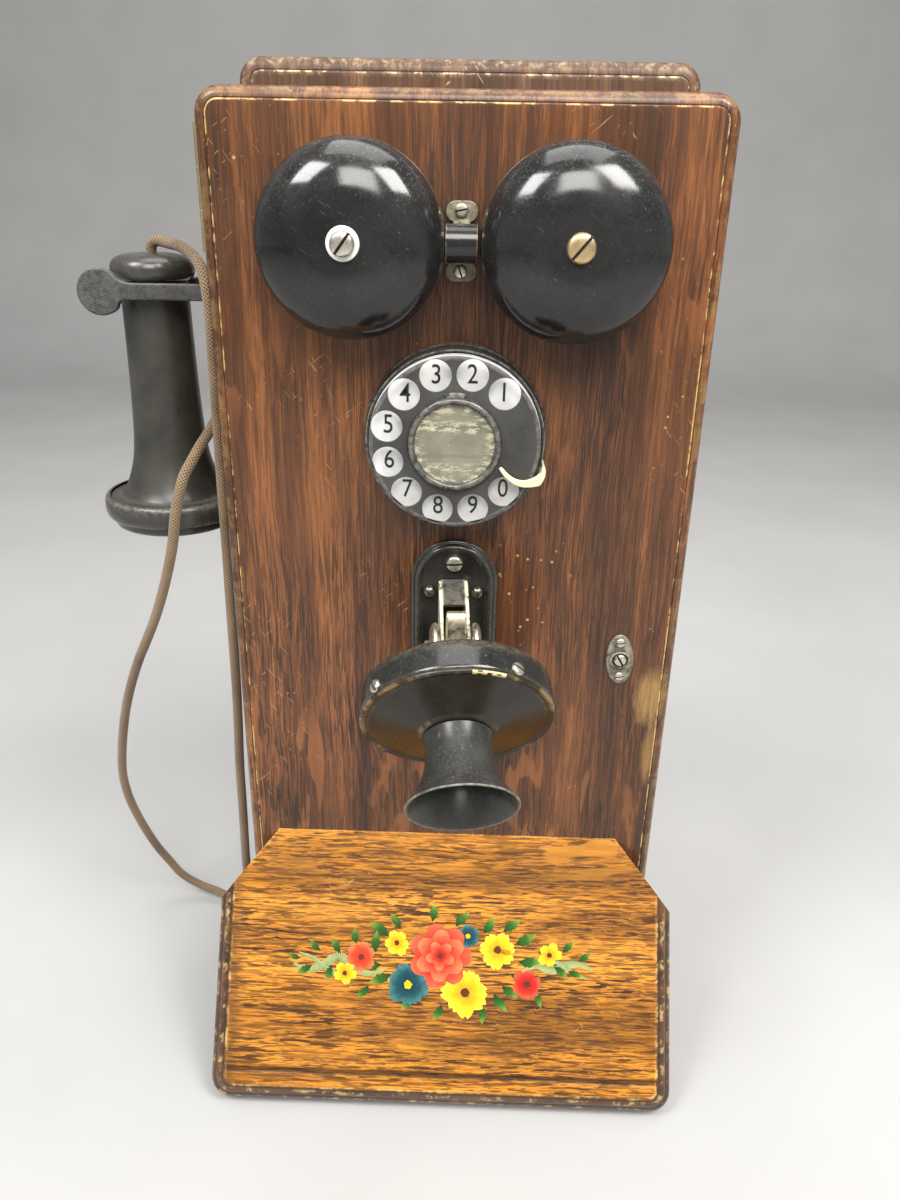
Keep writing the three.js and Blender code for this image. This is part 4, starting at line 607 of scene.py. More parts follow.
def _crackle():
    n = Nodes("crackle_black")
    v = n.voronoi(scale=1150, feature="DISTANCE_TO_EDGE")
    cr = n.ramp(v, [(0.0, 0.0), (0.16, 1.0)])
    t = n.noise(scale=60, detail=4)
    col = n.mix(cr, (0.012, 0.012, 0.012), n.ramp(t, [(0.3, (0.020, 0.020, 0.021)), (0.7, (0.036, 0.036, 0.037))]))
    col, _ = worn(n, col, (0.22, 0.21, 0.19), 0.7, 380)
    # faces that point up turn lighter grey: dust, and a painted highlight on the top edges
    up = n.ramp(n.normal_z(), [(0.5, 0.0), (1.0, 1.0)])
    col = n.mix(n.math("MULTIPLY", n.math("MULTIPLY", up, n.ramp(t, [(0.35, 0.2), (0.6, 1.0)])), 0.3), col, (0.28, 0.265, 0.24))
    return n.done(col, n.ramp(cr, [(0.0, 0.8), (1.0, 0.42)]), normal=n.bump(cr, 0.5, 0.0003), coat=0.15, coat_rough=0.3)
CRACKLE = _crackle()
def _cord():
    n = Nodes("cord_braid")
    uv = n.uv()
    u, v, _ = n.sep(uv)
    # two families of strands wound opposite ways: v counts millimetres, u goes once round
    a = n.math("ADD", n.math("MULTIPLY", u, 8.0), n.math("MULTIPLY", v, 0.62))
    b = n.math("SUBTRACT", n.math("MULTIPLY", u, 8.0), n.math("MULTIPLY", v, 0.62))
    sa = n.math("ABSOLUTE", n.math("SINE", n.math("MULTIPLY", a, math.pi)))
    sb = n.math("ABSOLUTE", n.math("SINE", n.math("MULTIPLY", b, math.pi)))
    weave = n.math("MAXIMUM", n.math("POWER", sa, 1.6), n.math("POWER", sb, 1.6))
    fib = n.noise(scale=2600, detail=3, rough=0.7)
    tone = n.noise(scale=28, detail=4, rough=0.6)
    hgt = n.math("ADD", weave, n.math("MULTIPLY", fib, 0.35))
    col = n.ramp(tone, [(0.3, (0.17, 0.110, 0.058)), (0.55, (0.27, 0.180, 0.100)), (0.8, (0.36, 0.255, 0.150))])
    # darkened in the hollows between strands: painted shade
    col = n.mix(n.math("MULTIPLY", n.ramp(hgt, [(0.60, 1.0), (1.0, 0.0)]), 0.92), col, (0.030, 0.017, 0.010))
    col = n.mix(n.math("MULTIPLY", n.ramp(fib, [(0.6, 0.0), (0.75, 1.0)]), 0.35), col, (0.36, 0.26, 0.18))
    return n.done(col, 0.85, normal=n.bump(hgt, 0.8, 0.0004), sheen=0.25, spec=0.25)
BRAID = _cord()
def _winding():
    n = Nodes("coil_winding")
    c = n.coord()
    z = n.wave(n.mapping(c, (1, 1, 1)), scale=420, direction="Z")
    t = n.noise(scale=200, detail=4)
    # dark lines in the gaps between the turns of wire: painted shade
    col = n.mix(n.ramp(z, [(0.1, 0.0), (0.6, 1.0)]), (0.05, 0.012, 0.006), n.ramp(t, [(0.3, (0.20, 0.045, 0.02)), (0.7, (0.30, 0.08, 0.03))]))
    return n.done(col, 0.35, normal=n.bump(z, 0.5, 0.0002), coat=0.4)
WINDING = _winding()
def _paper():
    n = Nodes("wax_paper")
    t = n.noise(scale=120, detail=5, rough=0.6)
    col = n.ramp(t, [(0.3, (0.22, 0.13, 0.06)), (0.7, (0.36, 0.24, 0.12))])
    return n.done(col, 0.5, normal=n.bump(t, 0.3, 0.0003))
PAPER = _paper()

# ------------------------------------------------------------------ cord, first of all
ROUTE = [
    (-139.8, 50.0, -61.6), (-139.8, 50.0, -60.0), (-138.6, 49.6, -58.0), (-135.4, 48.4, -57.0), (-130.6, 45.6, -57.8), (-123.6, 40.6, -58.9), (-117.0, 35.4, -62.2),
    (-112.0, 29.8, -67.2), (-109.6, 26.0, -75.0), (-108.7, 24.6, -84.0), (-108.9, 24.5, -104.5), (-109.2, 24.5, -128.7),
    (-109.6, 24.5, -158.9), (-110.0, 25.0, -191.0), (-111.1, 27.0, -225.9), (-113.5, 33.0, -279.1), (-116.9, 39.0, -326.0),
    (-118.5, 43.0, -359.0), (-120.6, 48.0, -395.6), (-121.6, 52.0, -420.0), (-122.4, 56.6, -438.0), (-125.2, 63.5, -450.4),
    (-131.0, 71.5, -456.4), (-139.0, 79.0, -457.3), (-148.6, 84.0, -454.3), (-158.9, 86.2, -451.9), (-167.6, 86.2, -446.9),
    (-174.5, 85.2, -439.9), (-179.8, 83.2, -428.8), (-185.1, 80.0, -415.6), (-189.0, 76.0, -400.3), (-192.0, 71.0, -382.4),
    (-193.1, 66.0, -365.8), (-192.2, 61.0, -348.9), (-188.9, 56.0, -331.8), (-179.6, 46.0, -299.3), (-171.1, 39.0, -276.6),
    (-162.2, 32.0, -257.3), (-155.3, 27.6, -244.2), (-146.3, 21.6, -226.3), (-138.2, 16.4, -206.6), (-131.9, 13.0, -187.4),
    (-128.4, 12.8, -169.6), (-126.7, 13.8, -163.3), (-124.4, 16.4, -155.1), (-122.0, 19.6, -150.3), (-118.9, 25.0, -144.2),
    (-115.6, 30.4, -138.6), (-112.4, 35.2, -132.6), (-109.6, 38.2, -127.6), (-106.4, 39.8, -124.4), (-103.6, 40.0, -124.0), (-101.9, 40.0, -124.0)]
ROUTE = [Vector((x, YF + y, H + z)) for x, y, z in ROUTE]

def centripetal(P, per=10):
    P = [2 * P[0] - P[1]] + list(P) + [2 * P[-1] - P[-2]]
    out = []
    for i in range(1, len(P) - 2):
        p0, p1, p2, p3 = P[i - 1:i + 3]
        t0 = 0.0
        t1 = t0 + (p1 - p0).length ** 0.5
        t2 = t1 + (p2 - p1).length ** 0.5
        t3 = t2 + (p3 - p2).length ** 0.5
        for s in range(per):
            t = t1 + (t2 - t1) * s / per
            a1 = (t1 - t) / (t1 - t0) * p0 + (t - t0) / (t1 - t0) * p1
            a2 = (t2 - t) / (t2 - t1) * p1 + (t - t1) / (t2 - t1) * p2
            a3 = (t3 - t) / (t3 - t2) * p2 + (t - t2) / (t3 - t2) * p3
            b1 = (t2 - t) / (t2 - t0) * a1 + (t - t0) / (t2 - t0) * a2
            b2 = (t3 - t) / (t3 - t1) * a2 + (t - t1) / (t3 - t1) * a3
            out.append((t2 - t) / (t2 - t1) * b1 + (t - t1) / (t2 - t1) * b2)
    out.append(P[-2])
    return out

def tube(name, P, r, mat, sides=12, step=2.6, body=None, caps=True, **kw):
    # even steps along the path, with parallel transport, so the braid doesn't twist
    acc, pts = [0.0], [P[0]]
    for a, b in zip(P, P[1:]):
        acc.append(acc[-1] + (b - a).length)
    total, k, i = acc[-1], 1, 0
    n = max(8, int(total / step))
    pts = []
    for s in range(n + 1):
        d = total * s / n
        while i < len(acc) - 2 and acc[i + 1] < d:
            i += 1
        t = (d - acc[i]) / max(1e-9, acc[i + 1] - acc[i])
        pts.append(P[i].lerp(P[i + 1], t))
    tang = [(pts[min(j + 1, n)] - pts[max(j - 1, 0)]).normalized() for j in range(n + 1)]
    nrm = tang[0].orthogonal().normalized()
    V, F, UV = [], [], []
    for j in range(n + 1):
        if j:
            nrm = (nrm - tang[j] * nrm.dot(tang[j])).normalized()
        bi = tang[j].cross(nrm)
        for q in range(sides + 1):
            a = 2 * math.pi * q / sides
            V.append(pts[j] + r * (math.cos(a) * nrm + math.sin(a) * bi))
            UV.append((q / sides, total * j / n))
    m = sides + 1
    for j in range(n):
        for q in range(sides):
            F.append((j * m + q, j * m + q + 1, (j + 1) * m + q + 1, (j + 1) * m + q))
    if caps:
        F.append(tuple(range(sides)))
        F.append(tuple(n * m + q for q in range(sides)))
    ob = make(name, V, F, mat, body, uvs=UV, merge=False, sharp=60, **kw)
    return ob, total, pts

cord_path = centripetal(ROUTE)
cord_obj, CORD_LEN, cord_pts = tube("receiver_cord_braid", cord_path, CORD_R, BRAID, sides=14)
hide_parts("receiver_cord")
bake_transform(cord_obj)

# ------------------------------------------------------------------ boards: door, backboard, shelf
def board(name, x0, x1, z0, z1, R, prof, yf, mat, body, reps, holes=()):
    """prof rows: (inset from the edge, depth behind the front face, wear, painted shade), from the front face outwards
    and back.
    """
    rings, wear, painted_shade = [], [], []
    for d, y, w, g in prof:
        rings.append([(x, yf + y, z) for x, z in rounded(x0 + d, x1 - d, z0 + d, z1 - d, R - d, 8)])
        wear.append(w); painted_shade.append(g)
    ob = rings_solid(name, rings, mat, None, wear, painted_shade)
    if holes:
        carve(ob, list(holes))
    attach(ob, body)
    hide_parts(*reps)
    return ob

def quarter(d0, y0, d1, y1, n, w0, w1, mid=None):
    """Convex quarter round from the front (d0, y0) to the side (d1, y1)."""
    rows = []
    for i in range(n + 1):
        t = i / n * math.pi / 2
        w = w0 + (w1 - w0) * i / n
        if mid is not None:
            w = max(w, mid * math.sin(2 * t))
        rows.append((d0 + (d1 - d0) * math.sin(t), y0 + (y1 - y0) * (1 - math.cos(t)), w, 0.0))
    return rows

# fourth column is painted shade, set in the step between the flat field and the quarter round
door_prof = [(7.2, 0.0, 0.0, 0), (5.7, 0.0, 0.0, 0), (5.25, 0.05, 0.8, 0), (4.95, 0.35, 0.9, 0.1), (4.75, 0.8, 0.2, 0.85), (4.55, 0.95, 0.1, 0.8)]
door_prof += quarter(4.35, 0.8, 0.0, 6.0, 7, 0.04, 0.1, 0.16)
door_prof += [(0.0, 9.0, 0.0, 0), (0.0, 16.0, 0.0, 0), (0.05, 16.6, 0.3, 0), (0.5, 17.5, 0.6, 0), (1.0, 18.0, 0.3, 0), (3.0, 18.0, 0.0, 0)]
hx, hy = -105.3, YF + DOOR_T + 0.5
holes = [cyl_cutter(31.0, YF - 1, YF + DOOR_T + 1, DX, DZ, 48),
         cyl_cutter(4.6, YF - 1, YF + DOOR_T + 1, -GX, GZ), cyl_cutter(4.6, YF - 1, YF + DOOR_T + 1, GX, GZ),
         box_cutter(-6, 6, YF - 1, YF + DOOR_T + 1, GZ - 5, GZ + 5), cyl_cutter(3.4, YF - 1, YF + DOOR_T + 1, LX, LZ),
         box_cutter(-DOOR_W / 2 - 2, -88.5, hy - 1.4, YF + DOOR_T + 1, 400, 448), box_cutter(-DOOR_W / 2 - 2, -88.5, hy - 1.4, YF + DOOR_T + 1, 20, 68)]
board("door_board", -DOOR_W / 2, DOOR_W / 2, 3, H, 10.2, door_prof, YF, OAK, "door", ("door_panel",), holes)

# fourth column is painted shade, set in the step between the flat field and the quarter round
back_prof = [(8.0, 0.0, 0.0, 0), (6.6, 0.0, 0.2, 0), (6.1, 0.1, 0.9, 0), (5.8, 0.4, 0.9, 0.2), (5.6, 0.9, 0.3, 0.8), (5.4, 1.0, 0.1, 0.8)]
back_prof += quarter(5.2, 0.8, 0.0, 5.6, 7, 0.12, 0.16, 0.3)
back_prof += [(0.0, 9.0, 0.10, 0), (0.0, 15.2, 0.1, 0), (0.1, 15.8, 0.4, 0), (0.5, 16.6, 0.6, 0), (1.0, 17.0, 0.3, 0), (3.0, 17.0, 0.0, 0)]
board("back_board", -101.5, 101.5, 0, 478, 10.2, back_prof, YB - 17, OAK_DIM, "case", ("backboard",))

# writing shelf
cs, sn = math.cos(SLOPE), math.sin(SLOPE)
S_O, S_U, S_V, S_W = Vector((-2, YF, H - 336)), Vector((1, 0, 0)), Vector((0, -cs, -sn)), Vector((0, sn, -cs))
def on_shelf(u, v, w=0.0):
    return S_O + u * S_U + v * S_V + w * S_W
def shelf_ring(w, g, r=5.0, groove=0.0, lip=0.0):
    vb = w * sn / cs
    h = 107.6 + g
    back = -0.8 * g if g < 0 else 0.0
    pts = [(-85.9 - 0.795 * vb + back, vb + back, w), (85.9 + 0.795 * vb - back, vb + back, w), (h, 27.3 + 1.25 * g + 0.0, w)]
    for vv in (40.0, 60.0, 80.0, 100.0, 116.4, 117.7, 119.0, 120.0):
        pts.append((h, vv, w + (groove if vv in (117.7, 119.0) else 0)))
    rr = r + g * 0.6
    for i in range(7):
        a = math.pi / 2 * i / 6
        pts.append((h - rr + rr * math.cos(a), 126 + g - rr + rr * math.sin(a), w + lip))
    for i in range(7):
        a = math.pi / 2 + math.pi / 2 * i / 6
        pts.append((-h + rr + rr * math.cos(a), 126 + g - rr + rr * math.sin(a), w + lip))
    for vv in (120.0, 119.0, 117.7, 116.4, 100.0, 80.0, 60.0, 40.0):
        pts.append((-h, vv, w + (groove if vv in (117.7, 119.0) else 0)))
    pts.append((-h, 27.3 + 1.25 * g, w))
    return pts
# fourth column is painted shade, set in the grooves behind the beads and toward the edge's underside
SH = [(0.0, -1.3, 0.0, 0.0), (0.0, -0.1, 0.35, 0.0), (0.2, 0.3, 0.95, 0), (0.7, 0.65, 0.6, 0), (1.6, 0.85, 0.1, 0.8), (1.9, 1.5, 0.15, 0.6), (2.2, 2.6, 0.6, 0), (2.8, 3.7, 0.45, 0), (3.6, 4.6, 0.2, 0.1),
      (4.7, 5.2, 0.0, 0.7), (5.0, 5.7, 0.1, 0.6), (5.6, 6.8, 0.6, 0), (6.6, 7.6, 0.4, 0), (8.0, 8.0, 0.45, 0), (9.6, 8.0, 0.3, 0), (11.4, 7.5, 0.2, 0), (12.8, 6.4, 0.1, 0.1), (13.6, 5.0, 0.1, 0.3), (15.0, 4.4, 0.0, 0)]
rings, wear, painted_shade = [], [], []
inner_n = None
rut = []
for k, (w, g, we, gr) in enumerate(SH):
    rut += [(k, i) for i, q in enumerate(shelf_ring(w, g, 5.0)) if k == 0 and q[1] in (117.7, 119.0)]
    rings.append([on_shelf(*p) for p in shelf_ring(w, g, 5.0, groove=1.0 if k < 2 else 0.0)])
    wear.append(we); painted_shade.append(gr)
n = len(rings[0])
V, F, W, G, FM = [], [], [], [], []
for r, we, gr in zip(rings, wear, painted_shade):
    for p in r:
        V.append(p); W.append(we); G.append(gr)
# the front groove's vertices on the top face take full painted shade
for k, i in rut:
    G[k * n + i] = 1.0
# edge bands take the darker oak as painted shade; the top face and the back edge keep the golden oak
for k in range(len(rings) - 1):
    for i in range(n):
        j = (i + 1) % n
        F.append((k * n + i, k * n + j, (k + 1) * n + j, (k + 1) * n + i))
        FM.append(0 if k == 0 or i == 0 or i == 1 or i == n - 1 else 1)
# top face in strips across: flat, groove, flat front
right = list(range(2, 11)); left = list(range(n - 1, n - 10, -1))
F.append((0, 1, 2, n - 1)); FM.append(0)
for a, b, c, d in zip(right, right[1:], left, left[1:]):
    F.append((a, b, d, c)); FM.append(0)
F.append(tuple(range(10, n - 9 + 1))); FM.append(0)
F.append(tuple(range((len(rings) - 1) * n, len(rings) * n))); FM.append(0)
for i, v in enumerate(V):
    if i < n and i in (4 + 2, 9, 8, n - 7, n - 8):
        pass
shelf = make("writing_shelf", V, F, GOLD, "door", reps=("shelf_board",), slot="golden_oak", wear=W, painted_shade=G, mats=[GOLD, EDGE_OAK_SHADE], fmat=FM, sharp=30)

# printed floral spray on the shelf: thin petals and leaves of a generic pattern
def _petal_mat(name, c0, c1, c2=None):
    m = Nodes(name)
    t = m.noise(scale=420, detail=5, rough=0.65)
    u, v, _ = m.sep(m.uv())
    grad = m.ramp(v, [(0.0, c0), (0.55, c1), (1.0, c2 or c1)])
    col = m.mix(m.math("MULTIPLY", m.ramp(t, [(0.42, 0.0), (0.7, 1.0)]), 0.35), grad, c0)
    wornm = m.ramp(m.noise(scale=900, detail=3, rough=0.7), [(0.66, 0.0), (0.7, 1.0)])
    col = m.mix(m.math("MULTIPLY", wornm, 0.5), col, (0.42, 0.2, 0.05))
    return m.done(col, 0.33, coat=0.1, spec=0.25)
P_RED = _petal_mat("print_red", (0.20, 0.006, 0.006), (0.50, 0.020, 0.014), (0.74, 0.11, 0.05))
P_PINK = _petal_mat("print_pink", (0.42, 0.014, 0.008), (0.66, 0.06, 0.022), (0.82, 0.20, 0.08))
P_YEL = _petal_mat("print_yellow", (0.50, 0.17, 0.006), (0.78, 0.44, 0.012), (0.86, 0.64, 0.05))
P_BLUE = _petal_mat("print_blue", (0.004, 0.022, 0.030), (0.010, 0.062, 0.075), (0.06, 0.19, 0.19))
P_GRN = _petal_mat("print_green", (0.006, 0.030, 0.006), (0.030, 0.11, 0.012), (0.20, 0.33, 0.05))
P_PALE = _petal_mat("print_pale_green", (0.10, 0.14, 0.04), (0.26, 0.31, 0.12), (0.48, 0.50, 0.26))
P_DOT = _petal_mat("print_dark_centre", (0.03, 0.012, 0.006), (0.10, 0.03, 0.01))
prints = {}
def printed(mat, outline, uvs, lift):
    prints.setdefault(mat.name, [mat, [], [], []])
    _, V, F, U = prints[mat.name]
    b = len(V)
    V.extend(on_shelf(u, v, -lift) for u, v in outline)
    U.extend(uvs)
    F.append(tuple(range(b, b + len(outline))))
def petal(mat, cu, cv, ang, length, width, lift, notch=0.0, curl=0.0, tip=0.0):
    left, right = [], []
    N = 9
    for i in range(N + 1):
        t = i / N
        wdt = width * (math.sin(math.pi * min(1, t * (1 - tip) + tip * t * t)) ** 0.8 if tip else math.sin(math.pi * (0.06 + 0.88 * t)) ** 0.9) * (0.55 + 0.55 * t)
        off = curl * t * t * length
        left.append((t * length, wdt / 2 + off)); right.append((t * length, -wdt / 2 + off))
    if notch:
        left.append((length * (1 - notch), curl * length))
    loop = right + left[::-1]
    ca, sa = math.cos(ang), math.sin(ang)
    printed(mat, [(cu + x * ca - y * sa, cv + x * sa + y * ca) for x, y in loop], [(0.5, min(1.0, x / length)) for x, y in loop], lift)
def leaf(mat, cu, cv, ang, length, width, lift, curl=0.12):
    N, a, b = 10, [], []
    for i in range(N + 1):
        t = i / N
        wd = width * math.sin(math.pi * t) ** 1.2 * (1 + 0.18 * math.sin(t * 26)) * (1.15 - 0.5 * t)
        a.append((t * length, wd / 2 + curl * t * t * length)); b.append((t * length, -wd / 2 + curl * t * t * length))
    ca, sa = math.cos(ang), math.sin(ang)
    printed(mat, [(cu + x * ca - y * sa, cv + x * sa + y * ca) for x, y in b + a[::-1]], [(0.5, min(1.0, x / length)) for x, y in b + a[::-1]], lift)
def disc(mat, cu, cv, r, lift, squash=1.0, n=14, rag=0.0, rnd=None):
    out = []
    for i in range(n):
        a = 2 * math.pi * i / n
        rr = r * (1 + (rnd.uniform(-rag, rag) if rnd else 0))
        out.append((cu + rr * math.cos(a), cv + rr * squash * math.sin(a)))
    printed(mat, out, [(0.5, 0.5)] * n, lift)
def flower(mat, cu, cv, r, petals, lift, centre=P_DOT, rot=0.0, wide=0.9, rnd=None):
    for k in range(petals):
        a = rot + 2 * math.pi * k / petals + rnd.uniform(-0.12, 0.12)
        petal(mat, cu, cv, a, r * rnd.uniform(0.9, 1.08), r * wide, lift + 0.004 * (k % 3), notch=0.12, curl=rnd.uniform(-0.1, 0.1))
    disc(centre, cu, cv, r * 0.2, lift + 0.02, rnd=rnd, rag=0.15)
def rose(cu, cv, r, lift, rnd):
    for ring, (cnt, rr, m) in enumerate(((7, 1.0, P_RED), (6, 0.80, P_PINK), (5, 0.62, P_RED), (5, 0.46, P_PINK), (4, 0.3, P_RED))):
        for k in range(cnt):
            a = 2 * math.pi * k / cnt + ring * 0.55
            q = rr * r
            disc_c = (cu + math.cos(a) * q * 0.52, cv + math.sin(a) * q * 0.52)
            pts_, uv_ = [], []
            for i in range(13):
                t = 2 * math.pi * i / 13
                x, y = math.cos(t) * q * 0.52, math.sin(t) * q * 0.44 * (1 + 0.15 * math.cos(3 * t))
                pts_.append((disc_c[0] + x * math.cos(a) - y * math.sin(a), disc_c[1] + x * math.sin(a) + y * math.cos(a)))
                uv_.append((0.5, 0.5 + 0.5 * math.cos(t)))
            printed(m, pts_, uv_, lift + 0.006 * ring + 0.0008 * k)
    disc(P_DOT, cu, cv, r * 0.09, lift + 0.04)
rnd = random.Random(11)
# stems and ribbons first, then leaves, then flowers on top
def ribbon(mat, pts2, width, lift):
    P = centripetal([Vector((a, b, 0)) for a, b in pts2], 8)
    for i in range(len(P) - 1):
        t0, t1 = i / (len(P) - 1), (i + 1) / (len(P) - 1)
        d = (P[i + 1] - P[i]).normalized(); nn = Vector((-d.y, d.x, 0))
        w0, w1 = width * (0.35 + math.sin(math.pi * t0)), width * (0.35 + math.sin(math.pi * t1))
        printed(mat, [tuple((P[i] + nn * w0 / 2)[:2]), tuple((P[i + 1] + nn * w1 / 2)[:2]), tuple((P[i + 1] - nn * w1 / 2)[:2]), tuple((P[i] - nn * w0 / 2)[:2])], [(0.5, 0.2), (0.5, 0.6), (0.5, 0.9), (0.5, 0.5)], lift)
ribbon(P_PALE, [(-75.5, 66.5), (-68, 69.5), (-60, 66.5), (-53, 62.5), (-46, 66.0), (-38, 70.5), (-30, 68.5)], 3.2, 0.05)
ribbon(P_PALE, [(-73, 61.0), (-66, 63.5), (-58, 69.0), (-50, 71.5), (-42, 69.0)], 1.8, 0.052)
ribbon(P_PALE, [(75.5, 65.0), (69, 62.5), (62, 63.0), (55, 66.0), (47, 64.0), (40, 66.5)], 2.8, 0.05)
ribbon(P_PALE, [(73, 69.5), (66, 67.0), (58, 62.0), (50, 61.5)], 1.6, 0.052)
for cu, cv, a, L_, w_ in ((-62, 60, 3.7, 8, 3.6), (-66, 67, 2.6, 9, 3.8), (-72, 64, 3.4, 7, 3.0), (-56, 67, 1.9, 8, 4), (-52, 61, 4.2, 9, 4), (-34, 60, 4.6, 11, 5), (-28, 52, 3.9, 12, 5.5), (-22, 48, 4.4, 9, 4.5), (-31, 66, 3.2, 10, 5),
                          (-26, 70, 2.6, 12, 5.5), (-14, 80, 2.3, 10, 5), (-6, 44, 4.9, 9, 4.5), (6, 46, 5.2, 10, 5), (20, 49, 5.4, 10, 5), (30, 48, 5.6, 11, 5), (36, 54, 5.9, 12, 5.5), (38, 62, 0.1, 12, 5.5), (34, 68, 0.5, 12, 5.5), (26, 78, 1.0, 11, 5),
                          (30, 74, 0.7, 10, 5), (20, 84, 1.4, 9, 4.5), (48, 58, 5.7, 9, 4), (56, 64, 0.6, 9, 4), (63, 66, 0.4, 8, 3.6), (68, 61, 5.9, 8, 3.4), (60, 57, 5.5, 8, 3.6), (-44, 56, 4.4, 8, 4), (46, 76, 0.9, 9, 4), (-37, 76, 2.2, 9, 4), (0, 84, 1.8, 9, 4.5)):
    leaf(P_GRN, cu, cv, a + rnd.uniform(-0.1, 0.1), L_, w_, 0.06 + rnd.uniform(0, 0.004), rnd.uniform(-0.25, 0.25))
for cu, cv, r_, m_, k_ in ((-49.3, 70.5, 6.0, P_YEL, 5), (-23.5, 55.0, 6.6, P_YEL, 6), (53.5, 58.5, 6.2, P_YEL, 5), (12.3, 50.6, 6.0, P_BLUE, 6), (-17.3, 75.0, 10.6, P_BLUE, 9), (27.3, 56.8, 9.2, P_YEL, 7), (-41.3, 62.4, 7.4, P_PINK, 6), (42.5, 73.0, 7.6, P_RED, 6), (11.5, 78.0, 11.8, P_YEL, 8)):
    flower(m_, cu, cv, r_, k_, 0.08, centre=P_DOT if m_ is not P_BLUE else P_YEL, rot=rnd.uniform(0, 1), rnd=rnd)
rose(-1.4, 60.5, 15.4, 0.12, rnd)
obs = []
for key, (m_, V_, F_, U_) in prints.items():
    obs.append(make("print_" + key, V_, F_, m_, None, uvs=U_, merge=False))
join("shelf_floral_print", obs, "door")

# ------------------------------------------------------------------ gongs, hood, ringer
def gong(name, x, reps):
    prof = [(3.0, GTOP), (9.0, GTOP)]
    hh, N = GTOP - (GRIM + 2.4), 20
    for i in range(1, N + 1):
        t = i / N * math.pi / 2
        r = 9.0 + (GR + 0.05 - 9.0) * math.sin(t) ** 0.93
        h = GRIM + 2.4 + hh * math.cos(t) ** 0.86
        prof.append((r, h, 0.0))
    prof += [(GR - 0.35, GRIM + 2.15, 0.3, 0.5), (GR - 0.35, GRIM + 1.9, 0.3, 0.5), (GR + 0.1, GRIM + 1.65, 0.55), (GR + 0.15, GRIM + 0.9, 0.6), (GR - 0.1, GRIM + 0.25, 0.85), (GR - 0.8, GRIM, 0.6), (GR - 1.7, GRIM + 0.2, 0.3)]
    for i in range(N, 0, -2):
        t = i / N * math.pi / 2
        prof.append((8.0 + (GR - 1.8 - 8.0) * math.sin(t) ** 0.93, GRIM + 1.2 + (GTOP - 2.0 - GRIM - 1.2) * math.cos(t) ** 0.86 if i < N else GRIM + 1.0))
    prof += [(3.0, GTOP - 2.0)]
    return lathe(name, prof, 112, M_out(x, GZ), ENAMEL, "door", closed=True, reps=reps, slot="black_enamel", sharp=50)
gong("gong_left_bell", -GX, ("gong_left",))
gong("gong_right_bell", GX, ("gong_right",))
lathe("gong_left_washer", [(3.0, GTOP), (6.1, GTOP), (6.15, GTOP + 0.35), (5.9, GTOP + 0.85), (5.2, GTOP + 0.95), (3.0, GTOP + 0.9)], 48, M_out(-GX, GZ), WHITE_MAT, "door", closed=True, reps=("gong_washer_left",), slot="white_enamel")
screw("gong_left_screw", M_out(-GX, GZ), 4.6, 3.3, NICKEL, "door", angle=53, dome=0.8, reps=("gong_screw_left",), base=GTOP + 0.9, n=40)
screw("gong_right_screw", M_out(GX, GZ), 5.4, 2.6, BRASS, "door", angle=50, dome=0.7, slot_w=0.2, reps=("gong_screw_right",), base=GTOP, n=40)

def strip(name, line, width0, width1, thick, mat, body, wear_edge=0.8, M=None, **kw):
    """Bent sheet: line of (h, z) points, out from the door and up; width along x between width0 and width1."""
    n = len(line)
    V, F, W = [], [], []
    rows = []
    for i, (h, z) in enumerate(line):
        a = Vector(line[max(0, i - 1)]); b = Vector(line[min(n - 1, i + 1)])
        t = (b - a).normalized()
        nn = Vector((-t.y, t.x)) * thick / 2
        for s in (1, -1):
            p = Vector((h, z)) + nn * s
            for x in (width0, width0 + 0.5, width1 - 0.5, width1):
                v = Vector((x, YF - p.x, p.y))
                V.append(M @ v if M else v); W.append(wear_edge if x in (width0, width1) else 0.1)
    for i in range(n - 1):
        b0, b1 = i * 8, (i + 1) * 8
        for k in range(3):
            F.append((b0 + k, b0 + k + 1, b1 + k + 1, b1 + k)); F.append((b0 + 4 + k, b0 + 5 + k, b1 + 5 + k, b1 + 4 + k))
        F.append((b0, b0 + 4, b1 + 4, b1)); F.append((b0 + 3, b0 + 7, b1 + 7, b1 + 3))
    for b in (0, (n - 1) * 8):
        for k in range(3):
            F.append((b + k, b + k + 1, b + 5 + k, b + 4 + k))
    return make(name, V, F, mat, body, wear=W, **kw)

# hood: bowed strap with its lips, necks and round lugs
zc = GZ - 0.4
ho = [(0.0, 7.1), (4.5, 7.1), (9.0, 7.1), (11.4, 6.7), (13.0, 5.8), (14.3, 4.4), (15.1, 2.8), (15.5, 1.4), (15.6, 0.0)]
hi_ = [(0.0, 5.9), (4.5, 5.9), (8.6, 5.9), (10.8, 5.6), (12.2, 4.9), (13.3, 3.7), (14.0, 2.2), (14.3, 1.1), (14.4, 0.0)]
V, F, W = [], [], []
full_o = ho + [(h, -z) for h, z in reversed(ho[:-1])]
full_i = hi_ + [(h, -z) for h, z in reversed(hi_[:-1])]
hx = (-6.4, -5.9, 5.1, 5.6)
for row in (full_o, full_i):
    for h, z in row:
        for x in hx:
            V.append((x, YF - h, zc + z)); W.append(0.55 if x in (-6.4, 5.6) else 0.0)
m_ = len(full_o)
for i in range(m_ - 1):
    for k in range(3):
        F.append((i * 4 + k, i * 4 + k + 1, (i + 1) * 4 + k + 1, (i + 1) * 4 + k))
        F.append(((m_ + i) * 4 + k, (m_ + i) * 4 + k + 1, (m_ + i + 1) * 4 + k + 1, (m_ + i + 1) * 4 + k))
    for k in (0, 3):
        F.append((i * 4 + k, (i + 1) * 4 + k, (m_ + i + 1) * 4 + k, (m_ + i) * 4 + k))
for i in (0, m_ - 1):
    for k in range(3):
        F.append((i * 4 + k, i * 4 + k + 1, (m_ + i) * 4 + k + 1, (m_ + i) * 4 + k))
parts = [make("hood_strap", V, F, ENAMEL2, None, wear=W, sharp=40)]
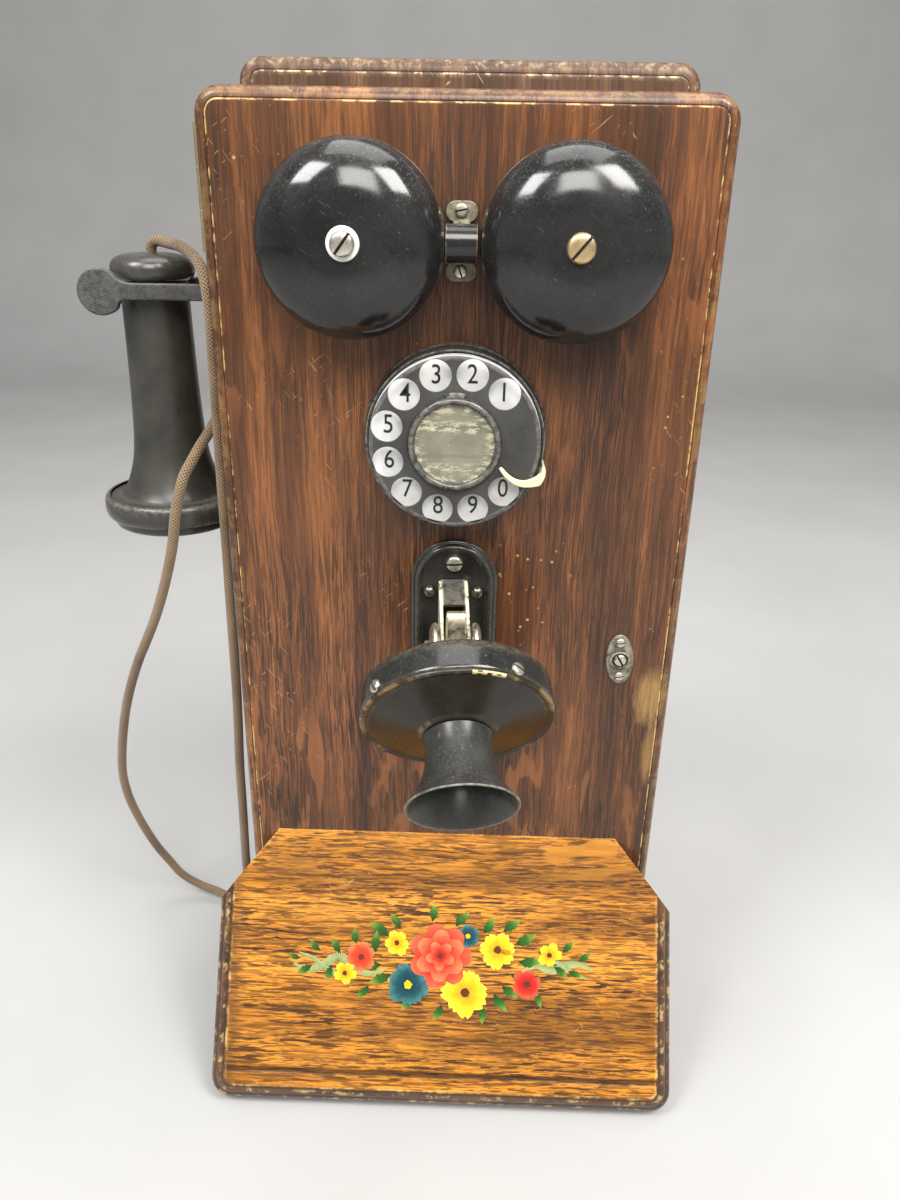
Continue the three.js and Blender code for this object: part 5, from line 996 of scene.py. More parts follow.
for s_, zl, zs in ((1, GZ + 10.9, GZ + 11.4), (-1, GZ - 10.7, GZ - 10.9)):
    lug = prism("lug", rounded(-6.8, 5.5, zl - 3.9, zl + 3.9, 3.8, 10), YF - 1.3, YF, HOOD_LUG, None, wear=[0.5] * 88)
    add_bevel(lug, 0.3)
    neck = [(-4.0, zc + s_ * 6.4), (-3.6, zl - s_ * 2.6), (2.2, zl - s_ * 2.6), (2.6, zc + s_ * 6.4)]
    nk = prism("neck", neck, YF - 1.7, YF - 0.1, ENAMEL2, None, wear=[1.0] * 8)
    parts += [lug, nk]
join("clapper_hood_strap", parts, "door", ("clapper_hood",))
screw("hood_top_screw", M_out(-0.9, GZ + 11.4), 2.6, 1.3, NICKEL, "door", angle=12, dome=0.6, reps=("hood_screw_top",), base=1.3)
screw("hood_bottom_screw", M_out(-0.9, GZ - 10.9), 2.6, 1.3, NICKEL, "door", angle=-70, dome=0.6, reps=("hood_screw_bottom",), base=1.3)

# ------------------------------------------------------------------ dial
def annulus_prof():
    return [(31.4, 0.05), (36.6, 0.0), (37.7, 0.25, 0.2), (38.1, 1.0, 0.4), (38.1, 3.6, 0.1), (37.8, 4.4, 0.2), (37.2, 4.9, 0.0, 0.5), (37.0, 6.0, 0.0, 0.4), (37.0, 12.2, 0.05), (36.8, 12.8, 0.35), (36.35, 13.1, 0.35), (35.9, 12.8, 0.1), (35.7, 12.2), (35.7, 10.9), (31.4, 10.9)]
lathe("dial_base_ring", annulus_prof(), 112, M_out(DX, DZ), BASE_BLK, "door", closed=True, reps=("dial_base",), slot="black_enamel", sharp=50)
# number plate, slightly dished, with its digits
np_ = lathe("np", [(5.5, 11.15), (34.6, 11.1), (35.3, 11.3, 0.2), (35.3, 11.9, 0.2), (34.8, 12.1), (20.0, 12.1), (5.5, 12.1)], 96, M_out(DX, DZ), WHITE_MAT, None, closed=True)
def glyph(ch, x, z, size, y, mat):
    cu = bpy.data.curves.new("digit", "FONT")
    cu.body, cu.size, cu.align_x, cu.align_y, cu.extrude, cu.resolution_u = ch, size, "CENTER", "CENTER", 0.03, 6
    cu.offset = 0.03
    tmp = bpy.data.objects.new("digit", cu)
    SC.collection.objects.link(tmp)
    bpy.context.view_layer.update()
    me = bpy.data.meshes.new_from_object(tmp.evaluated_get(bpy.context.evaluated_depsgraph_get()))
    bpy.data.objects.remove(tmp, do_unlink=True)
    xs = [v.co.x for v in me.vertices]; ys = [v.co.y for v in me.vertices]
    cx, cy = (min(xs) + max(xs)) / 2, (min(ys) + max(ys)) / 2
    for v in me.vertices:
        a, b, c = v.co
        v.co = Vector(((x + (a - cx) * 0.86) * MM, (y - c) * MM, (z + (b - cy)) * MM))
    me.materials.clear(); me.materials.append(mat)
    ob = bpy.data.objects.new("digit", me)
    SC.collection.objects.link(ob)
    return ob
digs = [np_]
for k in range(10):
    a = math.radians(46.46 + 30 * k)
    digs.append(glyph(str((k + 1) % 10), DX + 28.2 * math.cos(a), DZ + 28.2 * math.sin(a), 10.9, YF - 12.18, INK))
join("dial_number_plate", digs, "door", ("number_plate",))

# finger wheel with ten bevelled holes, and the spindle behind it
def finger_wheel():
    segs, nh = 120, 40
    bm = bmesh.new()
    V, F, W, G = lathe_data([(0, 16.2), (34.2, 16.2), (34.8, 16.5), (35.0, 17.0), (34.9, 17.4), (34.4, 17.75), (33.6, 17.8), (33.1, 17.62), (32.7, 17.6), (0, 17.6)], segs, M_out(DX, DZ))
    w = make("finger_wheel_disc", V, F, WHEEL, None, wear=[0.5 if (Vector((v[0] - DX, v[2] - DZ)).length > 33.5) else 0.0 for v in V])
    cut_ = []
    for k in range(10):
        a = math.radians(46.46 + 30 * k)
        cut_.append(cyl_cutter(6.45, YF - 20, YF - 14, DX + 28.4 * math.cos(a), DZ + 28.4 * math.sin(a), nh))
    w.data.materials.append(WHEEL)
    carve(w, cut_)
    for p in w.data.polygons:
        p.material_index = 0
    add_bevel(w, 0.32, 2, 40)
    sp = lathe("spindle", [(0, 16.4), (3.0, 16.4), (3.0, -16), (0, -16)], 24, M_out(DX, DZ), STEEL, None)
    return join("finger_wheel_plate", [w, sp], "dial_wheel", ("finger_wheel",))
finger_wheel()
cr = lathe("card_ring_rim", [(16.3, 17.5), (19.3, 17.5), (19.35, 18.2, 0.1), (19.0, 19.2, 0.1), (18.3, 19.95, 0.3), (17.5, 20.1, 0.3), (16.7, 19.7, 0.2), (16.3, 19.0, 0.1)], 96, M_out(DX, DZ), BASE_BLK, None, closed=True, sharp=60)
tabo = []
for i in range(13):
    a = math.radians(78 + 24 * i / 12)
    tabo.append((DX + 20.9 * math.cos(a), DZ + 20.9 * math.sin(a)))
for i in range(12, -1, -1):
    a = math.radians(80 + 20 * i / 12)
    tabo.append((DX + 18.6 * math.cos(a), DZ + 18.6 * math.sin(a)))
tab = prism("tab", tabo, YF - 18.9, YF - 17.6, BASE_BLK, None, wear=[0.5] * 52)
add_bevel(tab, 0.25)
join("card_ring_bezel", [cr, tab], "dial_wheel", ("card_ring",))
lathe("card_and_window", [(0, 18.75), (12.0, 18.6, 0.0), (15.0, 18.4, 0.8), (16.35, 18.2, 1.0), (16.35, 17.65, 0), (0, 17.65)], 64, M_out(DX, DZ), CARD, "dial_wheel", reps=("number_card",), slot="card", sharp=60)

# finger stop: cream crescent with its foot on the base ring
def crescent():
    pts_ = [(18.2, -9.0)]
    def quad(p0, p1, p2, n=10):
        return [((1 - t) ** 2 * p0[0] + 2 * (1 - t) * t * p1[0] + t * t * p2[0], (1 - t) ** 2 * p0[1] + 2 * (1 - t) * t * p1[1] + t * t * p2[1]) for t in [i / n for i in range(1, n + 1)]]
    pts_ += quad((18.2, -9.0), (19.2, -7.9), (20.3, -9.3), 6)
    pts_ += quad((20.3, -9.3), (27.4, -17.8), (35.6, -10.2), 14)
    pts_ += quad((35.6, -10.2), (35.6, -8.2), (37.1, -8.6), 5)
    pts_ += quad((37.1, -8.6), (38.0, -12.0), (35.4, -15.8), 7)
    pts_ += quad((35.4, -15.8), (30.0, -17.4), (26.4, -16.3), 8)
    pts_ += quad((26.4, -16.3), (21.4, -14.6), (18.2, -9.0), 10)[:-1]
    return [(DX + a, DZ + b) for a, b in pts_]
cres = crescent()
st = prism("stop", cres, YF - 20.3, YF - 18.8, CREAM, None, wear=[0.5] * (2 * len(cres)))
add_bevel(st, 0.42, 3, 30)
a = math.radians(-18.8)
foot_pts = []
for (rr, aa) in ((37.1, -25), (37.1, -12.5), (38.1, -12.8), (38.1, -24.6)):
    t = math.radians(aa)
    foot_pts.append((DX + rr * math.cos(t), DZ + rr * math.sin(t)))
ft = prism("foot", foot_pts, YF - 19.6, YF - 5.6, CREAM, None, wear=[0.6] * 8)
add_bevel(ft, 0.25, 2)
join("finger_stop_hook", [st, ft], "door", ("finger_stop",))

# ------------------------------------------------------------------ transmitter plate, bracket, arm, bolt
def capsule(inset, y, per=18):
    x0, x1, z0, z1 = PX - PW / 2 + inset, PX + PW / 2 - inset, PTOP - PLEN + inset, PTOP - inset
    return [(x, YF - y, z) for x, z in rounded(x0, x1, z0, z1, (x1 - x0) / 2 - 0.02, per)]
pp = [(0.4, 0.0, 0.1, 0), (0.0, 0.3, 0.15, 0), (0.0, 1.5, 0.0, 0), (0.35, 2.0, 0.08, 0), (1.1, 2.1, 0.0, 0.4), (1.5, 2.3, 0.0, 0.5), (1.8, 3.2, 0.0, 0), (2.4, 3.9, 0.08, 0), (3.2, 4.1, 0.08, 0), (4.0, 3.8, 0.0, 0), (4.6, 2.9, 0.05, 0.3), (5.0, 2.2, 0.0, 0.4), (5.6, 2.0, 0, 0.2)]
pl = rings_solid("tplate", [capsule(d, y) for d, y, _, _ in pp], ENAMEL2, None, [p[2] for p in pp], [p[3] for p in pp], sharp=50)
studs = [pl]
for sx in (PX - 11.1, PX + 10.6):
    studs.append(lathe("stud", [(2.95, 1.9), (3.0, 2.4, 0.4), (2.8, 3.2, 0.7), (2.2, 4.1, 0.9), (1.3, 4.7, 1.0), (0, 4.9, 1.0)], 32, M_out(sx, H - 200.5), STUD, None))
join("transmitter_wall_plate", studs, "door", ("transmitter_plate",))
screw("plate_top_screw", M_out(PX, H - 186.7), 3.8, 2.5, NICKEL, "door", angle=3, dome=0.75, reps=("plate_screw",), base=2.0, n=40)

def cheek(x0, x1):
    y, z, r = PIVY, PIVZ, 6.6
    o = [(YF - 2.35, H - 194.9), (YF - 6.4, H - 194.9), (YF - 8.0, H - 195.8)]
    for i in range(20):
        a = math.pi / 2 + 0.85 + (math.pi - 0.5) * i / 19
        o.append((y + r * math.cos(a), z + r * math.sin(a)))
    o.append((YF - 2.35, H - 230.5))
    n = len(o)
    A = M_askew()
    V = [A @ Vector((x0, yy, zz)) for yy, zz in o] + [A @ Vector((x1, yy, zz)) for yy, zz in o]
    F = [tuple(range(n)), tuple(range(n, 2 * n))] + [(i, (i + 1) % n, n + (i + 1) % n, n + i) for i in range(n)]
    ob = make("cheek", V, F, CHEEK, None, wear=[1.0] * (2 * n))
    add_bevel(ob, 0.3, 2)
    return ob
web = strip("web", [(2.7, H - 195.1), (6.0, H - 195.1), (7.0, H - 195.4), (8.6, H - 196.4), (12.2, H - 198.9), (15.9, H - 201.3)], -5.0, 5.0, 1.6, CHEEK, None, 0.8, M=M_askew())
foot = strip("foot", [(3.2, H - 230), (3.2, H - 222)], -6.4, 6.4, 1.4, ENAMEL2, None, 0.6, M=M_askew())
join("transmitter_bracket_fork", [cheek(-6.45, -4.95), cheek(4.95, 6.45), web, foot], "door", ("transmitter_bracket",))

def tx_parts():
    # arm: a cast link between the cheeks, worn bright, with a flange on the back of the cup
    o = [(-13.4, -4.6), (-13.4, 4.6), (-8.5, 4.8), (-4.6, 6.4), (-1.0, 11.5), (1.6, 14.8), (3.6, 17.2), (5.4, 17.9), (7.6, 17.0), (8.0, 15.4), (7.3, 12.6), (6.4, 10.0), (5.2, 3.4)]
    for i in range(12):
        a = 0.5 - (math.pi / 2 + 0.75) * i / 11
        o.append((5.8 * math.cos(a), 5.8 * math.sin(a)))
    n = len(o)
    T = M_tilt()
    V = [T @ Vector((-4.2, yy, zz)) for yy, zz in o] + [T @ Vector((4.2, yy, zz)) for yy, zz in o]
    F = [tuple(range(n)), tuple(range(n, 2 * n))] + [(i, (i + 1) % n, n + (i + 1) % n, n + i) for i in range(n)]
    arm = make("arm", V, F, LINK, None, wear=[0.4] * (2 * n))
    add_bevel(arm, 0.8, 3)
    Mo = T @ Matrix(((1, 0, 0, 0), (0, 0, -1, 0), (0, 1, 0, 0), (0, 0, 0, 1)))
    fl = lathe("flange", [(0, 12.4), (7.2, 12.4), (8.0, 13.0, 0.6), (8.0, 14.4, 0.6), (7.4, 15.0), (0, 15.0)], 40, Mo, NICKEL, None)
    join("transmitter_link", [arm, fl], "transmitter", ("transmitter_arm",))
    # bolt along x with two spring washers and a round head
    Mx = T @ Matrix(((0, 0, 1, 0), (1, 0, 0, 0), (0, 1, 0, 0), (0, 0, 0, 1)))
    parts = [lathe("shank", [(0, -12.0), (1.8, -12.0), (1.8, 11.5), (0, 11.5)], 24, Mx, STEEL, None)]
    for a0, a1 in ((6.8, 7.7), (-7.7, -6.8)):
        parts.append(lathe("washer", [(1.8, a0), (7.3, a0), (7.6, a0 + 0.2, 0.7), (7.6, a1 - 0.2, 0.7), (7.3, a1), (1.8, a1)], 40, Mx, NICKEL_DARK, None, closed=True))
    kp = [(0, 0), (9.7, 0), (10.4, 0.3, 0.3), (10.8, 0.9, 0.6), (10.75, 1.5, 0.6), (10.4, 2.1, 0.4), (9.7, 2.75), (8.6, 3.2), (7.0, 3.5), (5.4, 3.62), (2.8, 3.7), (0, 3.7)]
    parts.append(lathe("knob", [(q[0], 7.5 + q[1]) + tuple(q[2:]) for q in kp], 56, Mx, NICKEL, None, sharp=50))
    parts.append(lathe("knob", [(q[0], -7.5 - q[1]) + tuple(q[2:]) for q in kp], 56, Mx, NICKEL, None, sharp=50))
    parts.append(lathe("end", [(0, -13.4), (2.2, -13.4), (2.9, -13.1, 0.8), (3.1, -12.5, 0.8), (3.1, -11.0), (0, -11.0)], 32, Mx, NICKEL, None))
    join("transmitter_bolt", parts, "transmitter", ("transmitter_pivot_bolt",))
tx_parts()
T = M_tx()
rim_from, rim_to = 66.0, 85.0
B = K - 15
cup_prof = [(0, 16.2), (9.4, 16.2), (10.2, 16.5, 0.2), (11.5, 16.95), (20, 17.6), (28, 18.2), (33.5, 18.8), (36.6, 19.5), (38.4, 20.5, 0.1), (39.5, 21.9, 0.15), (39.95, 23.6, 0.1), (40.0, 26.0), (40.0, K - 3.2), (40.0, K - 1.9, 0.1), (39.7, K - 1.6, 0.2), (38.4, K - 1.6), (38.4, B + 2.2), (35, 20.9), (11, 18.5), (0, 18.3)]
lathe("transmitter_cup_shell", cup_prof, 128, T, CUP, "transmitter", reps=("transmitter_cup",), slot="black_enamel", sharp=45)
face_prof = [(9.6, K + 6.5), (14.6, K + 6.55), (15.6, K + 6.2, 0.3), (16.3, K + 5.5, 0.2, 0.3), (17.2, K + 5.1), (24, K + 3.25), (31, K + 1.35), (35.6, K + 0.2), (36.6, K + 0.05, 0.1), (37.2, K - 0.2, 0.0, 0.5), (37.7, K - 0.1, 0.1), (38.3, K + 0.3, 0.3), (39.2, K + 0.35, 0.42), (39.8, K + 0.1, 0.42), (40.1, K - 0.5, 0.2), (40.0, K - 1.2, 0.1), (38.0, K - 1.2), (37.6, K - 2.4), (15.5, K + 3.6), (9.6, K + 4.4)]
FACE_RIM = black("face_rim_chip", (0.50, 0.38, 0.17), 0.4, 0.3, 0.3, (0.6, 0.5, 0.3), seed=1.2, orange_peel=0.3, wear_scale=300)
front = lathe("transmitter_front", face_prof, 128, T, FACE, "transmitter", closed=True, reps=("transmitter_face",), slot="black_enamel", sharp=50)
front.data.materials.append(FACE_RIM)
rr_rnd = random.Random(5)
for p_ in front.data.polygons:
    q_ = T.inverted() @ (p_.center / MM)
    a_ = math.degrees(math.atan2(q_.y, q_.x)) % 360
    if q_.z > K - 0.6 and q_.xy.length > 38.6 and rim_from < a_ < rim_to and rr_rnd.random() < 0.88:
        p_.material_index = 1
outer = smooth_prof([(14.0, K + 7.0), (13.7, K + 10.0), (13.6, K + 14.0), (14.1, K + 19.0), (15.2, K + 24.0), (17.0, K + 29.0), (19.4, K + 33.2), (21.6, K + 36.2), (22.5, K + 37.2)], 4)
inner = smooth_prof([(21.3, K + 37.6), (19.4, K + 35.0), (17.0, K + 31.2), (14.4, K + 26.0), (12.2, K + 20.0), (10.6, K + 14.0), (9.4, K + 8.6)], 4)
horn = [(0, K + 1.0), (9.2, K + 1.0), (9.2, K + 6.9), (13.6, K + 6.9)] + [(r, h, 0.0) for r, h in outer] + [(22.75, K + 37.6, 0.8), (22.6, K + 38.0, 1.0), (22.0, K + 38.1, 0.6)] + [(r, h, 0.0) for r, h in inner] + [(9.2, K + 6.4), (0, K + 6.4)]
hr = lathe("horn", horn, 96, T, HORN, None, sharp=60)
# dark discs on the mouthpiece's floor stand for its holes: painted shade
gr = []
for rr_, cnt in ((0, 1), (3.2, 6), (6.4, 12)):
    for i in range(cnt):
        a = 2 * math.pi * i / cnt
        gr.append(lathe("pore", [(0, K + 6.45), (0.75, K + 6.45), (0.75, K + 6.5), (0, K + 6.5)], 12, T @ Matrix.Translation((rr_ * math.cos(a), rr_ * math.sin(a), 0)), SLOT_HOLE_SHADE, None))
join("mouthpiece_horn", [hr] + gr, "transmitter", ("mouthpiece",))
for nm, ang in (("left", 145), ("right", 57)):
    c0 = math.radians(ang)
    # out of the cup's side: local z along the radius
    R_ = M_cup() @ Matrix.Rotation(-c0, 4, "Y") @ Matrix.Translation((40.0, -(K - 4), 0)) @ Matrix(((0, 0, 1, 0), (1, 0, 0, 0), (0, 1, 0, 0), (0, 0, 0, 1)))
    screw("rim_screw_%s_head" % nm, R_, 2.8, 1.4, NICKEL, "transmitter", angle=25 if nm == "left" else 70, dome=0.75, reps=("rim_screw_%s" % nm,), base=0.1)

# ------------------------------------------------------------------ latch
def oval(a, b, h0, h1, mat, wear, n=56, tilt=4.0):
    t, o = math.radians(tilt), []
    for i in range(n):
        u, v = a * math.cos(2 * math.pi * i / n), b * math.sin(2 * math.pi * i / n)
        o.append((LX + u * math.cos(t) - v * math.sin(t), LZ + u * math.sin(t) + v * math.cos(t)))
    return prism("oval", o, YF - h1, YF - h0, mat, None, wear=[wear] * (2 * n))
lp, boss = oval(6.3, 12.6, 0.0, 1.3, LATCH, 0.55), oval(4.9, 4.1, 0.6, 2.1, LATCH, 0.7)
# the plate and boss get the painted-shade material for the keyhole cut
for ob_, w_ in ((lp, 0.4), (boss, 0.35)):
    ob_.data.materials.append(SLOT_HOLE_SHADE)
    add_bevel(ob_, w_, 3)
    carve(ob_, [cyl_cutter(3.5, YF - 3, YF - 0.3, LX, LZ, 32)])
lp = join("latch_oval", [lp, boss])
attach(lp, "door"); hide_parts("latch_plate")
screw("latch_top_screw", M_out(LX - 0.4, LZ + 8.7), 2.2, 1.1, NICKEL, "door", angle=5, dome=0.6, reps=("latch_screw_top",), base=1.2)
screw("latch_bottom_screw", M_out(LX + 0.4, LZ - 8.7), 2.2, 1.1, NICKEL, "door", angle=8, dome=0.6, reps=("latch_screw_bottom",), base=1.2)
lk = screw("lock_head", M_out(LX, LZ), 3.15, 2.9, NICKEL, "lock", angle=-60, dome=0.4, slot_w=0.3, slot_d=0.5, base=0.25, n=36)
sh = lathe("lock_shank", [(0, 0.6), (2.8, 0.6), (2.8, -(DOOR_T + 8.8)), (0, -(DOOR_T + 8.8))], 24, M_out(LX, LZ), STEEL, None)
cam_o = [(LX - 3.6, LZ - 2.0), (LX - 2.0, LZ - 3.8), (LX + 2.0, LZ - 3.8), (LX + 3.6, LZ - 2.0), (LX + 3.6, LZ + 13.4), (LX + 1.8, LZ + 15.2), (LX - 1.8, LZ + 15.2), (LX - 3.6, LZ + 13.4)]
cm = prism("lock_cam", cam_o, YF + DOOR_T + 6.0, YF + DOOR_T + 8.8, STEEL, None, wear=[0.3] * 16)
add_bevel(cm, 0.4)
join("lock_shank_and_cam", [sh, cm], "lock", ("lock_screw",))

# ------------------------------------------------------------------ hook lever and receiver
def hook():
    """Two flat prongs with disc ends joined by a root plate, as one cast piece, and the arm and hub behind."""
    V, F, W, G = [], [], [], []
    obs = []
    for y0, y1 in ((-15.0, -11.0), (21.0, 25.0)):
        o = []
        cx, cz, r = -157.8, 382.4, 9.9
        def qd(p0, p1, p2, n=7):
            return [((1 - t) ** 2 * p0[0] + 2 * (1 - t) * t * p1[0] + t * t * p2[0], (1 - t) ** 2 * p0[1] + 2 * (1 - t) * t * p1[1] + t * t * p2[1]) for t in [i / n for i in range(n + 1)]]
        a0, a1 = math.radians(48), math.radians(-42)
        top = [(-110.0, 386.2), (-120, 386.4), (-132, 386.3)] + qd((-143.0, 386.2), (-149.0, 386.4), (cx + r * math.cos(a0), cz + r * math.sin(a0)))
        arc = []
        for i in range(1, 30):
            a = a0 + (2 * math.pi - (a0 - a1)) * i / 30
            arc.append((cx + r * math.cos(a), cz + r * math.sin(a)))
        bot = qd((cx + r * math.cos(a1), cz + r * math.sin(a1)), (-150.5, 379.3), (-146.0, 379.3)) + [(-132, 379.4), (-120, 379.4), (-110.0, 379.3)]
        o = top + arc + bot
        # the top edge and the disc end get more of the lighter worn grey: wear, and on the top edge a painted highlight
        pr = prism("prong", o, y0, y1, CRACKLE, None, wear=[0.35 if z > 385.5 or (x < -148) else 0.2 for x, z in o] * 2)
        add_bevel(pr, 0.7, 3)
        obs.append(pr)
    # root plate across, tapering into the arm
    root = [(-114.5, -14.9), (-110.2, -14.9), (-107.6, -9), (-106.4, 0), (-106.0, 2.0), (-106.0, 8.0), (-106.4, 10), (-107.6, 19), (-110.2, 24.9), (-114.5, 24.9)]
    n = len(root)
    V = [(x, y, 379.4) for x, y in root] + [(x, y, 386.2) for x, y in root]
    F = [tuple(range(n)), tuple(range(n, 2 * n))] + [(i, (i + 1) % n, n + (i + 1) % n, n + i) for i in range(n)]
    rt = make("root", V, F, CRACKLE, None, wear=[0.3] * (2 * n))
    add_bevel(rt, 0.9, 3)
    obs.append(rt)
    bar = prism("arm", [(-107.5, 379.6), (-107.5, 386.0), (-78.0, 384.6), (-74, 384.9), (-70.0, 385.0), (-66, 383.4), (-52.0, 382.2), (-52.0, 377.8), (-66, 376.6), (-70, 375.0), (-74, 375.1), (-78, 375.6), (-92, 378.4)], 2.2, 7.8, CRACKLE, None, wear=[0.3] * 26)
    add_bevel(bar, 0.6, 2)
    obs.append(bar)
    My = Matrix(((1, 0, 0, -72.0), (0, 0, 1, 5.0), (0, -1, 0, 380.0), (0, 0, 0, 1)))
    hb = lathe("hub", [(0, -4.6), (4.4, -4.6), (5.0, -4.0, 0.5), (5.0, 4.0, 0.5), (4.4, 4.6), (0, 4.6)], 36, My, CRACKLE, None)
    obs.append(hb)
    return join("switch_hook", obs, "hook", ("hook_lever",))
hook()

RX, RY, RT = REC
def MR():
    return Matrix.Translation((RX, RY, RT))
# shell: a straight, slightly swelling tube that opens to the ear cap
sh_prof = [(12.5, -10.9), (14.4, -11.1), (14.95, -11.7, 0.3), (15.0, -14.0)] + [(r, h, 0.0) for r, h in smooth_prof([(15.05, -20), (15.1, -32), (15.35, -48), (15.7, -62), (16.1, -72), (16.6, -81), (17.4, -88.5), (18.5, -94.5), (20.3, -100.4), (22.4, -105.6), (24.3, -108.8)], 4)] + [(25.6, -110.0, 0.3), (27.0, -110.3), (29.8, -110.4), (30.6, -110.8, 0.6), (31.0, -111.6, 0.7), (31.0, -114.4, 0.2), (24.0, -114.6), (22.0, -109.5)] + [(r, h, 0.0) for r, h in smooth_prof([(20.4, -106.0), (18.3, -101.0), (16.2, -95.0), (14.8, -86.0), (13.8, -76.0), (13.2, -60.0), (12.6, -32.0)], 3)] + [(12.5, -16.0)]
lathe("receiver_handle", sh_prof, 96, MR(), RUBBER, "receiver", closed=True, reps=("receiver_shell",), slot="ebonite", sharp=50)
tail_prof = [(0.0, 0.0)] + [(r, h, 0.1) for r, h in smooth_prof([(4.0, -0.05), (8.0, -0.25), (12.0, -0.8), (15.0, -1.7), (17.0, -3.1), (18.1, -4.9), (18.5, -6.7), (18.3, -8.6), (17.6, -10.2), (16.6, -11.2), (15.2, -11.7)], 4)] + [(14.0, -11.5), (3.2, -11.5), (0, -11.5)]
tail = lathe("receiver_tail_dome", tail_prof, 96, MR(), RUBBER_GLOSS, None, sharp=70)
# the cord hole's rounded lip on the dome's front left is not built: the line below makes nothing
eh = lathe("ear", [(2.2, 0.4), (2.9, 0.55), (3.4, 0.9, 0.4), (3.9, 0.75, 0.4), (4.3, 0.2)], 32, M_out(0, 0), RUBBER_GLOSS, None) if False else None
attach(tail, "receiver"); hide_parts("receiver_tail")
cap = [(30.6, -109.5), (32.0, -109.7, 0.4), (32.8, -110.4, 0.7), (33.3, -111.8, 0.3), (33.5, -113.8, 0.1), (33.45, -116.2), (33.0, -118.2, 0.2), (32.2, -119.5, 0.6), (31.2, -120.0, 0.8), (30.4, -120.2, 0.3, 0.5), (30.0, -120.6, 0, 0.5), (29.75, -122.4), (29.2, -123.7, 0.5), (28.0, -124.5, 0.8), (26.6, -124.6, 0.3), (23.0, -124.1), (12.0, -122.3), (6.4, -121.5), (5.4, -121.2, 0.3), (5.2, -120.4), (5.2, -118.9), (29.0, -118.6), (31.2, -117.6), (31.35, -114.6), (31.3, -110.4)]
lathe("receiver_ear_cap", cap, 112, MR(), RUBBER_GLOSS, "receiver", closed=True, reps=("receiver_cap",), slot="ebonite", sharp=40)
# cord bushing in the side of the case
Mb = Matrix(((0, 0, -1, -99.5), (0, 1, 0, -5.0), (1, 0, 0, 336.0), (0, 0, 0, 1)))
lathe("cord_hole_bushing", [(2.5, -10.6), (2.5, 1.6), (2.8, 2.05, 0.5), (3.6, 2.2, 0.8), (5.6, 1.9, 0.6), (6.8, 1.0, 0.6), (7.0, 0.2), (4.4, 0.0), (4.4, -10.6)], 40, Mb, NICKEL_DARK, "case", closed=True, reps=("cord_bushing",), slot="nickel", sharp=50)

# ------------------------------------------------------------------ materials on the CAD nodes that stay
def dress(node, mat, width=0.0, segs=2):
    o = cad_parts[node]
    o.data.materials.clear()
    o.data.materials.append(mat)
    for p in o.data.polygons:
        p.material_index = 0
    if width:
        add_bevel(o, width, segs, 35)
    return o
for n_, m_, w_ in (
    ("case_side_left", OAK_SIDE, 0.9), ("case_side_right", OAK_SIDE, 0.9), ("case_top", OAK_TOP, 0.9), ("case_bottom", OAK_DIM, 0.9),
    ("hinge_upper_case_leaf", BRASS, 0.15), ("hinge_upper_door_leaf", BRASS, 0.15), ("hinge_lower_case_leaf", BRASS, 0.15), ("hinge_lower_door_leaf", BRASS, 0.15),
    ("hookswitch_frame", STEEL, 0.2), ("hookswitch_springs", NICKEL, 0), ("condenser", STEEL, 0.6), ("induction_coil", WINDING, 0), ("terminal_block", OAK_DIM, 0.4),
    ("shelf_bracket_left", CRACKLE, 0.3), ("shelf_bracket_right", CRACKLE, 0.3), ("ringer_frame", STEEL, 0.2), ("ringer_coil_left", WINDING, 0), ("ringer_coil_right", WINDING, 0),
    ("clapper", NICKEL, 0), ("dial_mechanism", BRASS, 0.2), ("transmitter_button", NICKEL_DARK, 0.2), ("receiver_magnet", STEEL, 0.3)):
    dress(n_, m_, w_)
for n_ in ("clapper", "induction_coil", "ringer_coil_left", "ringer_coil_right", "hookswitch_springs"):
    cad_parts[n_].data.set_sharp_from_angle(angle=math.radians(40))

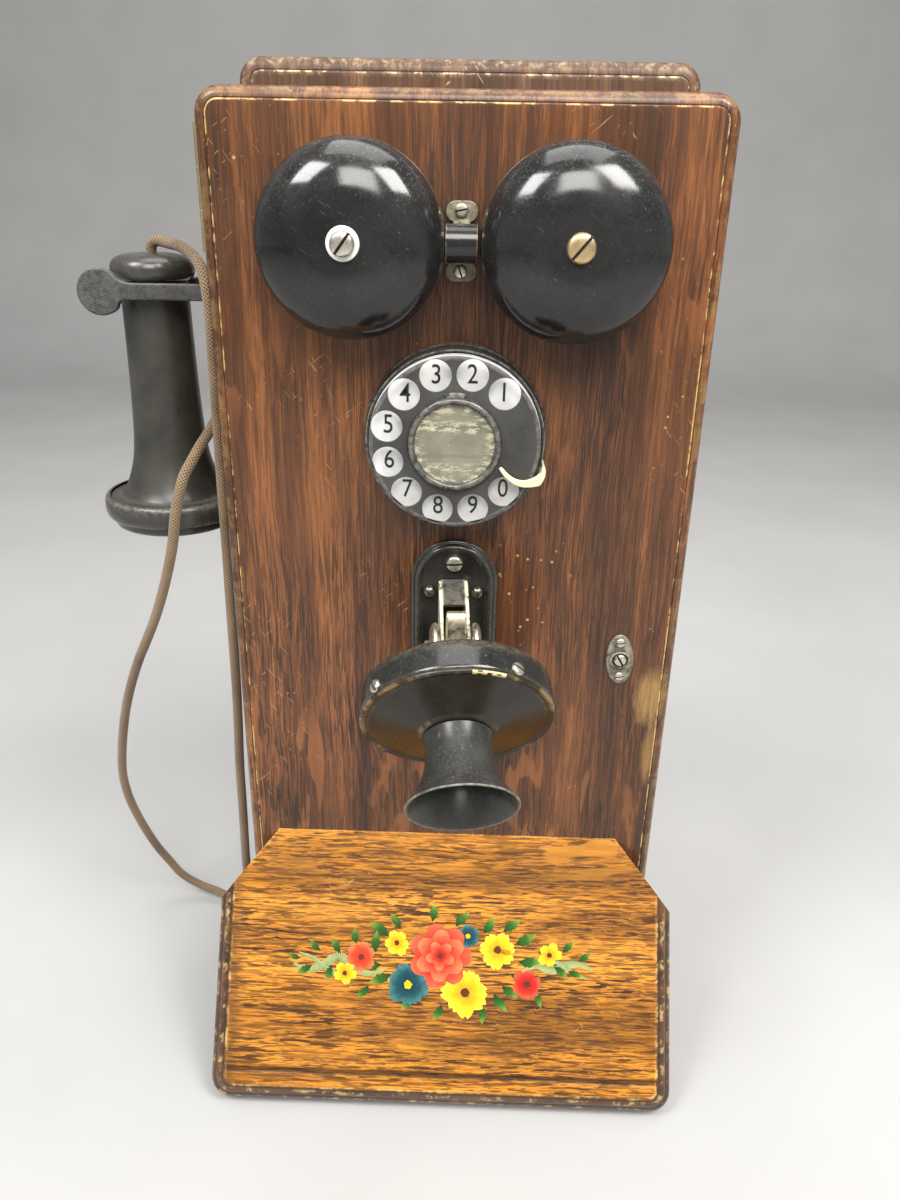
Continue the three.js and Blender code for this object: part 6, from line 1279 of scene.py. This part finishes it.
# ------------------------------------------------------------------ floor, lights
def floor():
    m = bpy.data.meshes.new("floor")
    s, back, up, r = 3.0, 2.4, 3.0, 0.6
    prof = [(-4.0, 0.0), (back - r, 0.0)] + [(back - r + r * math.sin(math.pi / 2 * i / 16), r - r * math.cos(math.pi / 2 * i / 16)) for i in range(1, 17)] + [(back, up)]
    V, F = [], []
    for y, z in prof:
        V += [(-4.0, y, z - 0.0005), (4.0, y, z - 0.0005)]
    for i in range(len(prof) - 1):
        F.append((2 * i, 2 * i + 1, 2 * i + 3, 2 * i + 2))
    m.from_pydata(V, [], F)
    for p in m.polygons:
        p.use_smooth = True
    ob = bpy.data.objects.new("studio_floor", m)
    SC.collection.objects.link(ob)
    n = Nodes("studio_paper")
    c = n.noise(n.coord(), 6.0, 3, 0.5)
    col = n.ramp(c, [(0.3, (0.36, 0.356, 0.348)), (0.7, (0.39, 0.386, 0.378))])
    m.materials.append(n.done(col, 0.85))
    return ob
floor()

def area(name, loc, target, size, power, color=(1, 1, 1), size_y=None):
    li = bpy.data.lights.new(name, "AREA")
    li.energy, li.color, li.size = power, color, size
    if size_y:
        li.shape, li.size_y = "RECTANGLE", size_y
    ob = bpy.data.objects.new(name, li)
    ob.location = loc
    d = Vector(target) - Vector(loc)
    ob.rotation_euler = d.to_track_quat("-Z", "Y").to_euler()
    SC.collection.objects.link(ob)
    return ob
area("key", (0.80, -0.70, 1.60), (0, -0.05, 0.26), 0.7, 34, (1.0, 0.98, 0.95))
area("left", (-0.85, -0.70, 1.55), (0, -0.05, 0.26), 0.6, 24, (0.98, 0.99, 1.0))
area("front", (0.1, -1.75, 1.95), (0, 0, 0.25), 1.0, 44, (1.0, 0.98, 0.95))
area("top", (0.05, 0.2, 1.9), (0, -0.05, 0.3), 1.2, 16, (1.0, 0.99, 0.97))
world = bpy.data.worlds.new("studio")
SC.world = world
world.use_nodes = True
bg = world.node_tree.nodes["Background"]
bg.inputs[0].default_value = (0.90, 0.91, 0.93, 1)
bg.inputs[1].default_value = 0.42
SC.view_settings.view_transform = "Standard"
SC.view_settings.look = "None"
SC.view_settings.exposure = 0.0
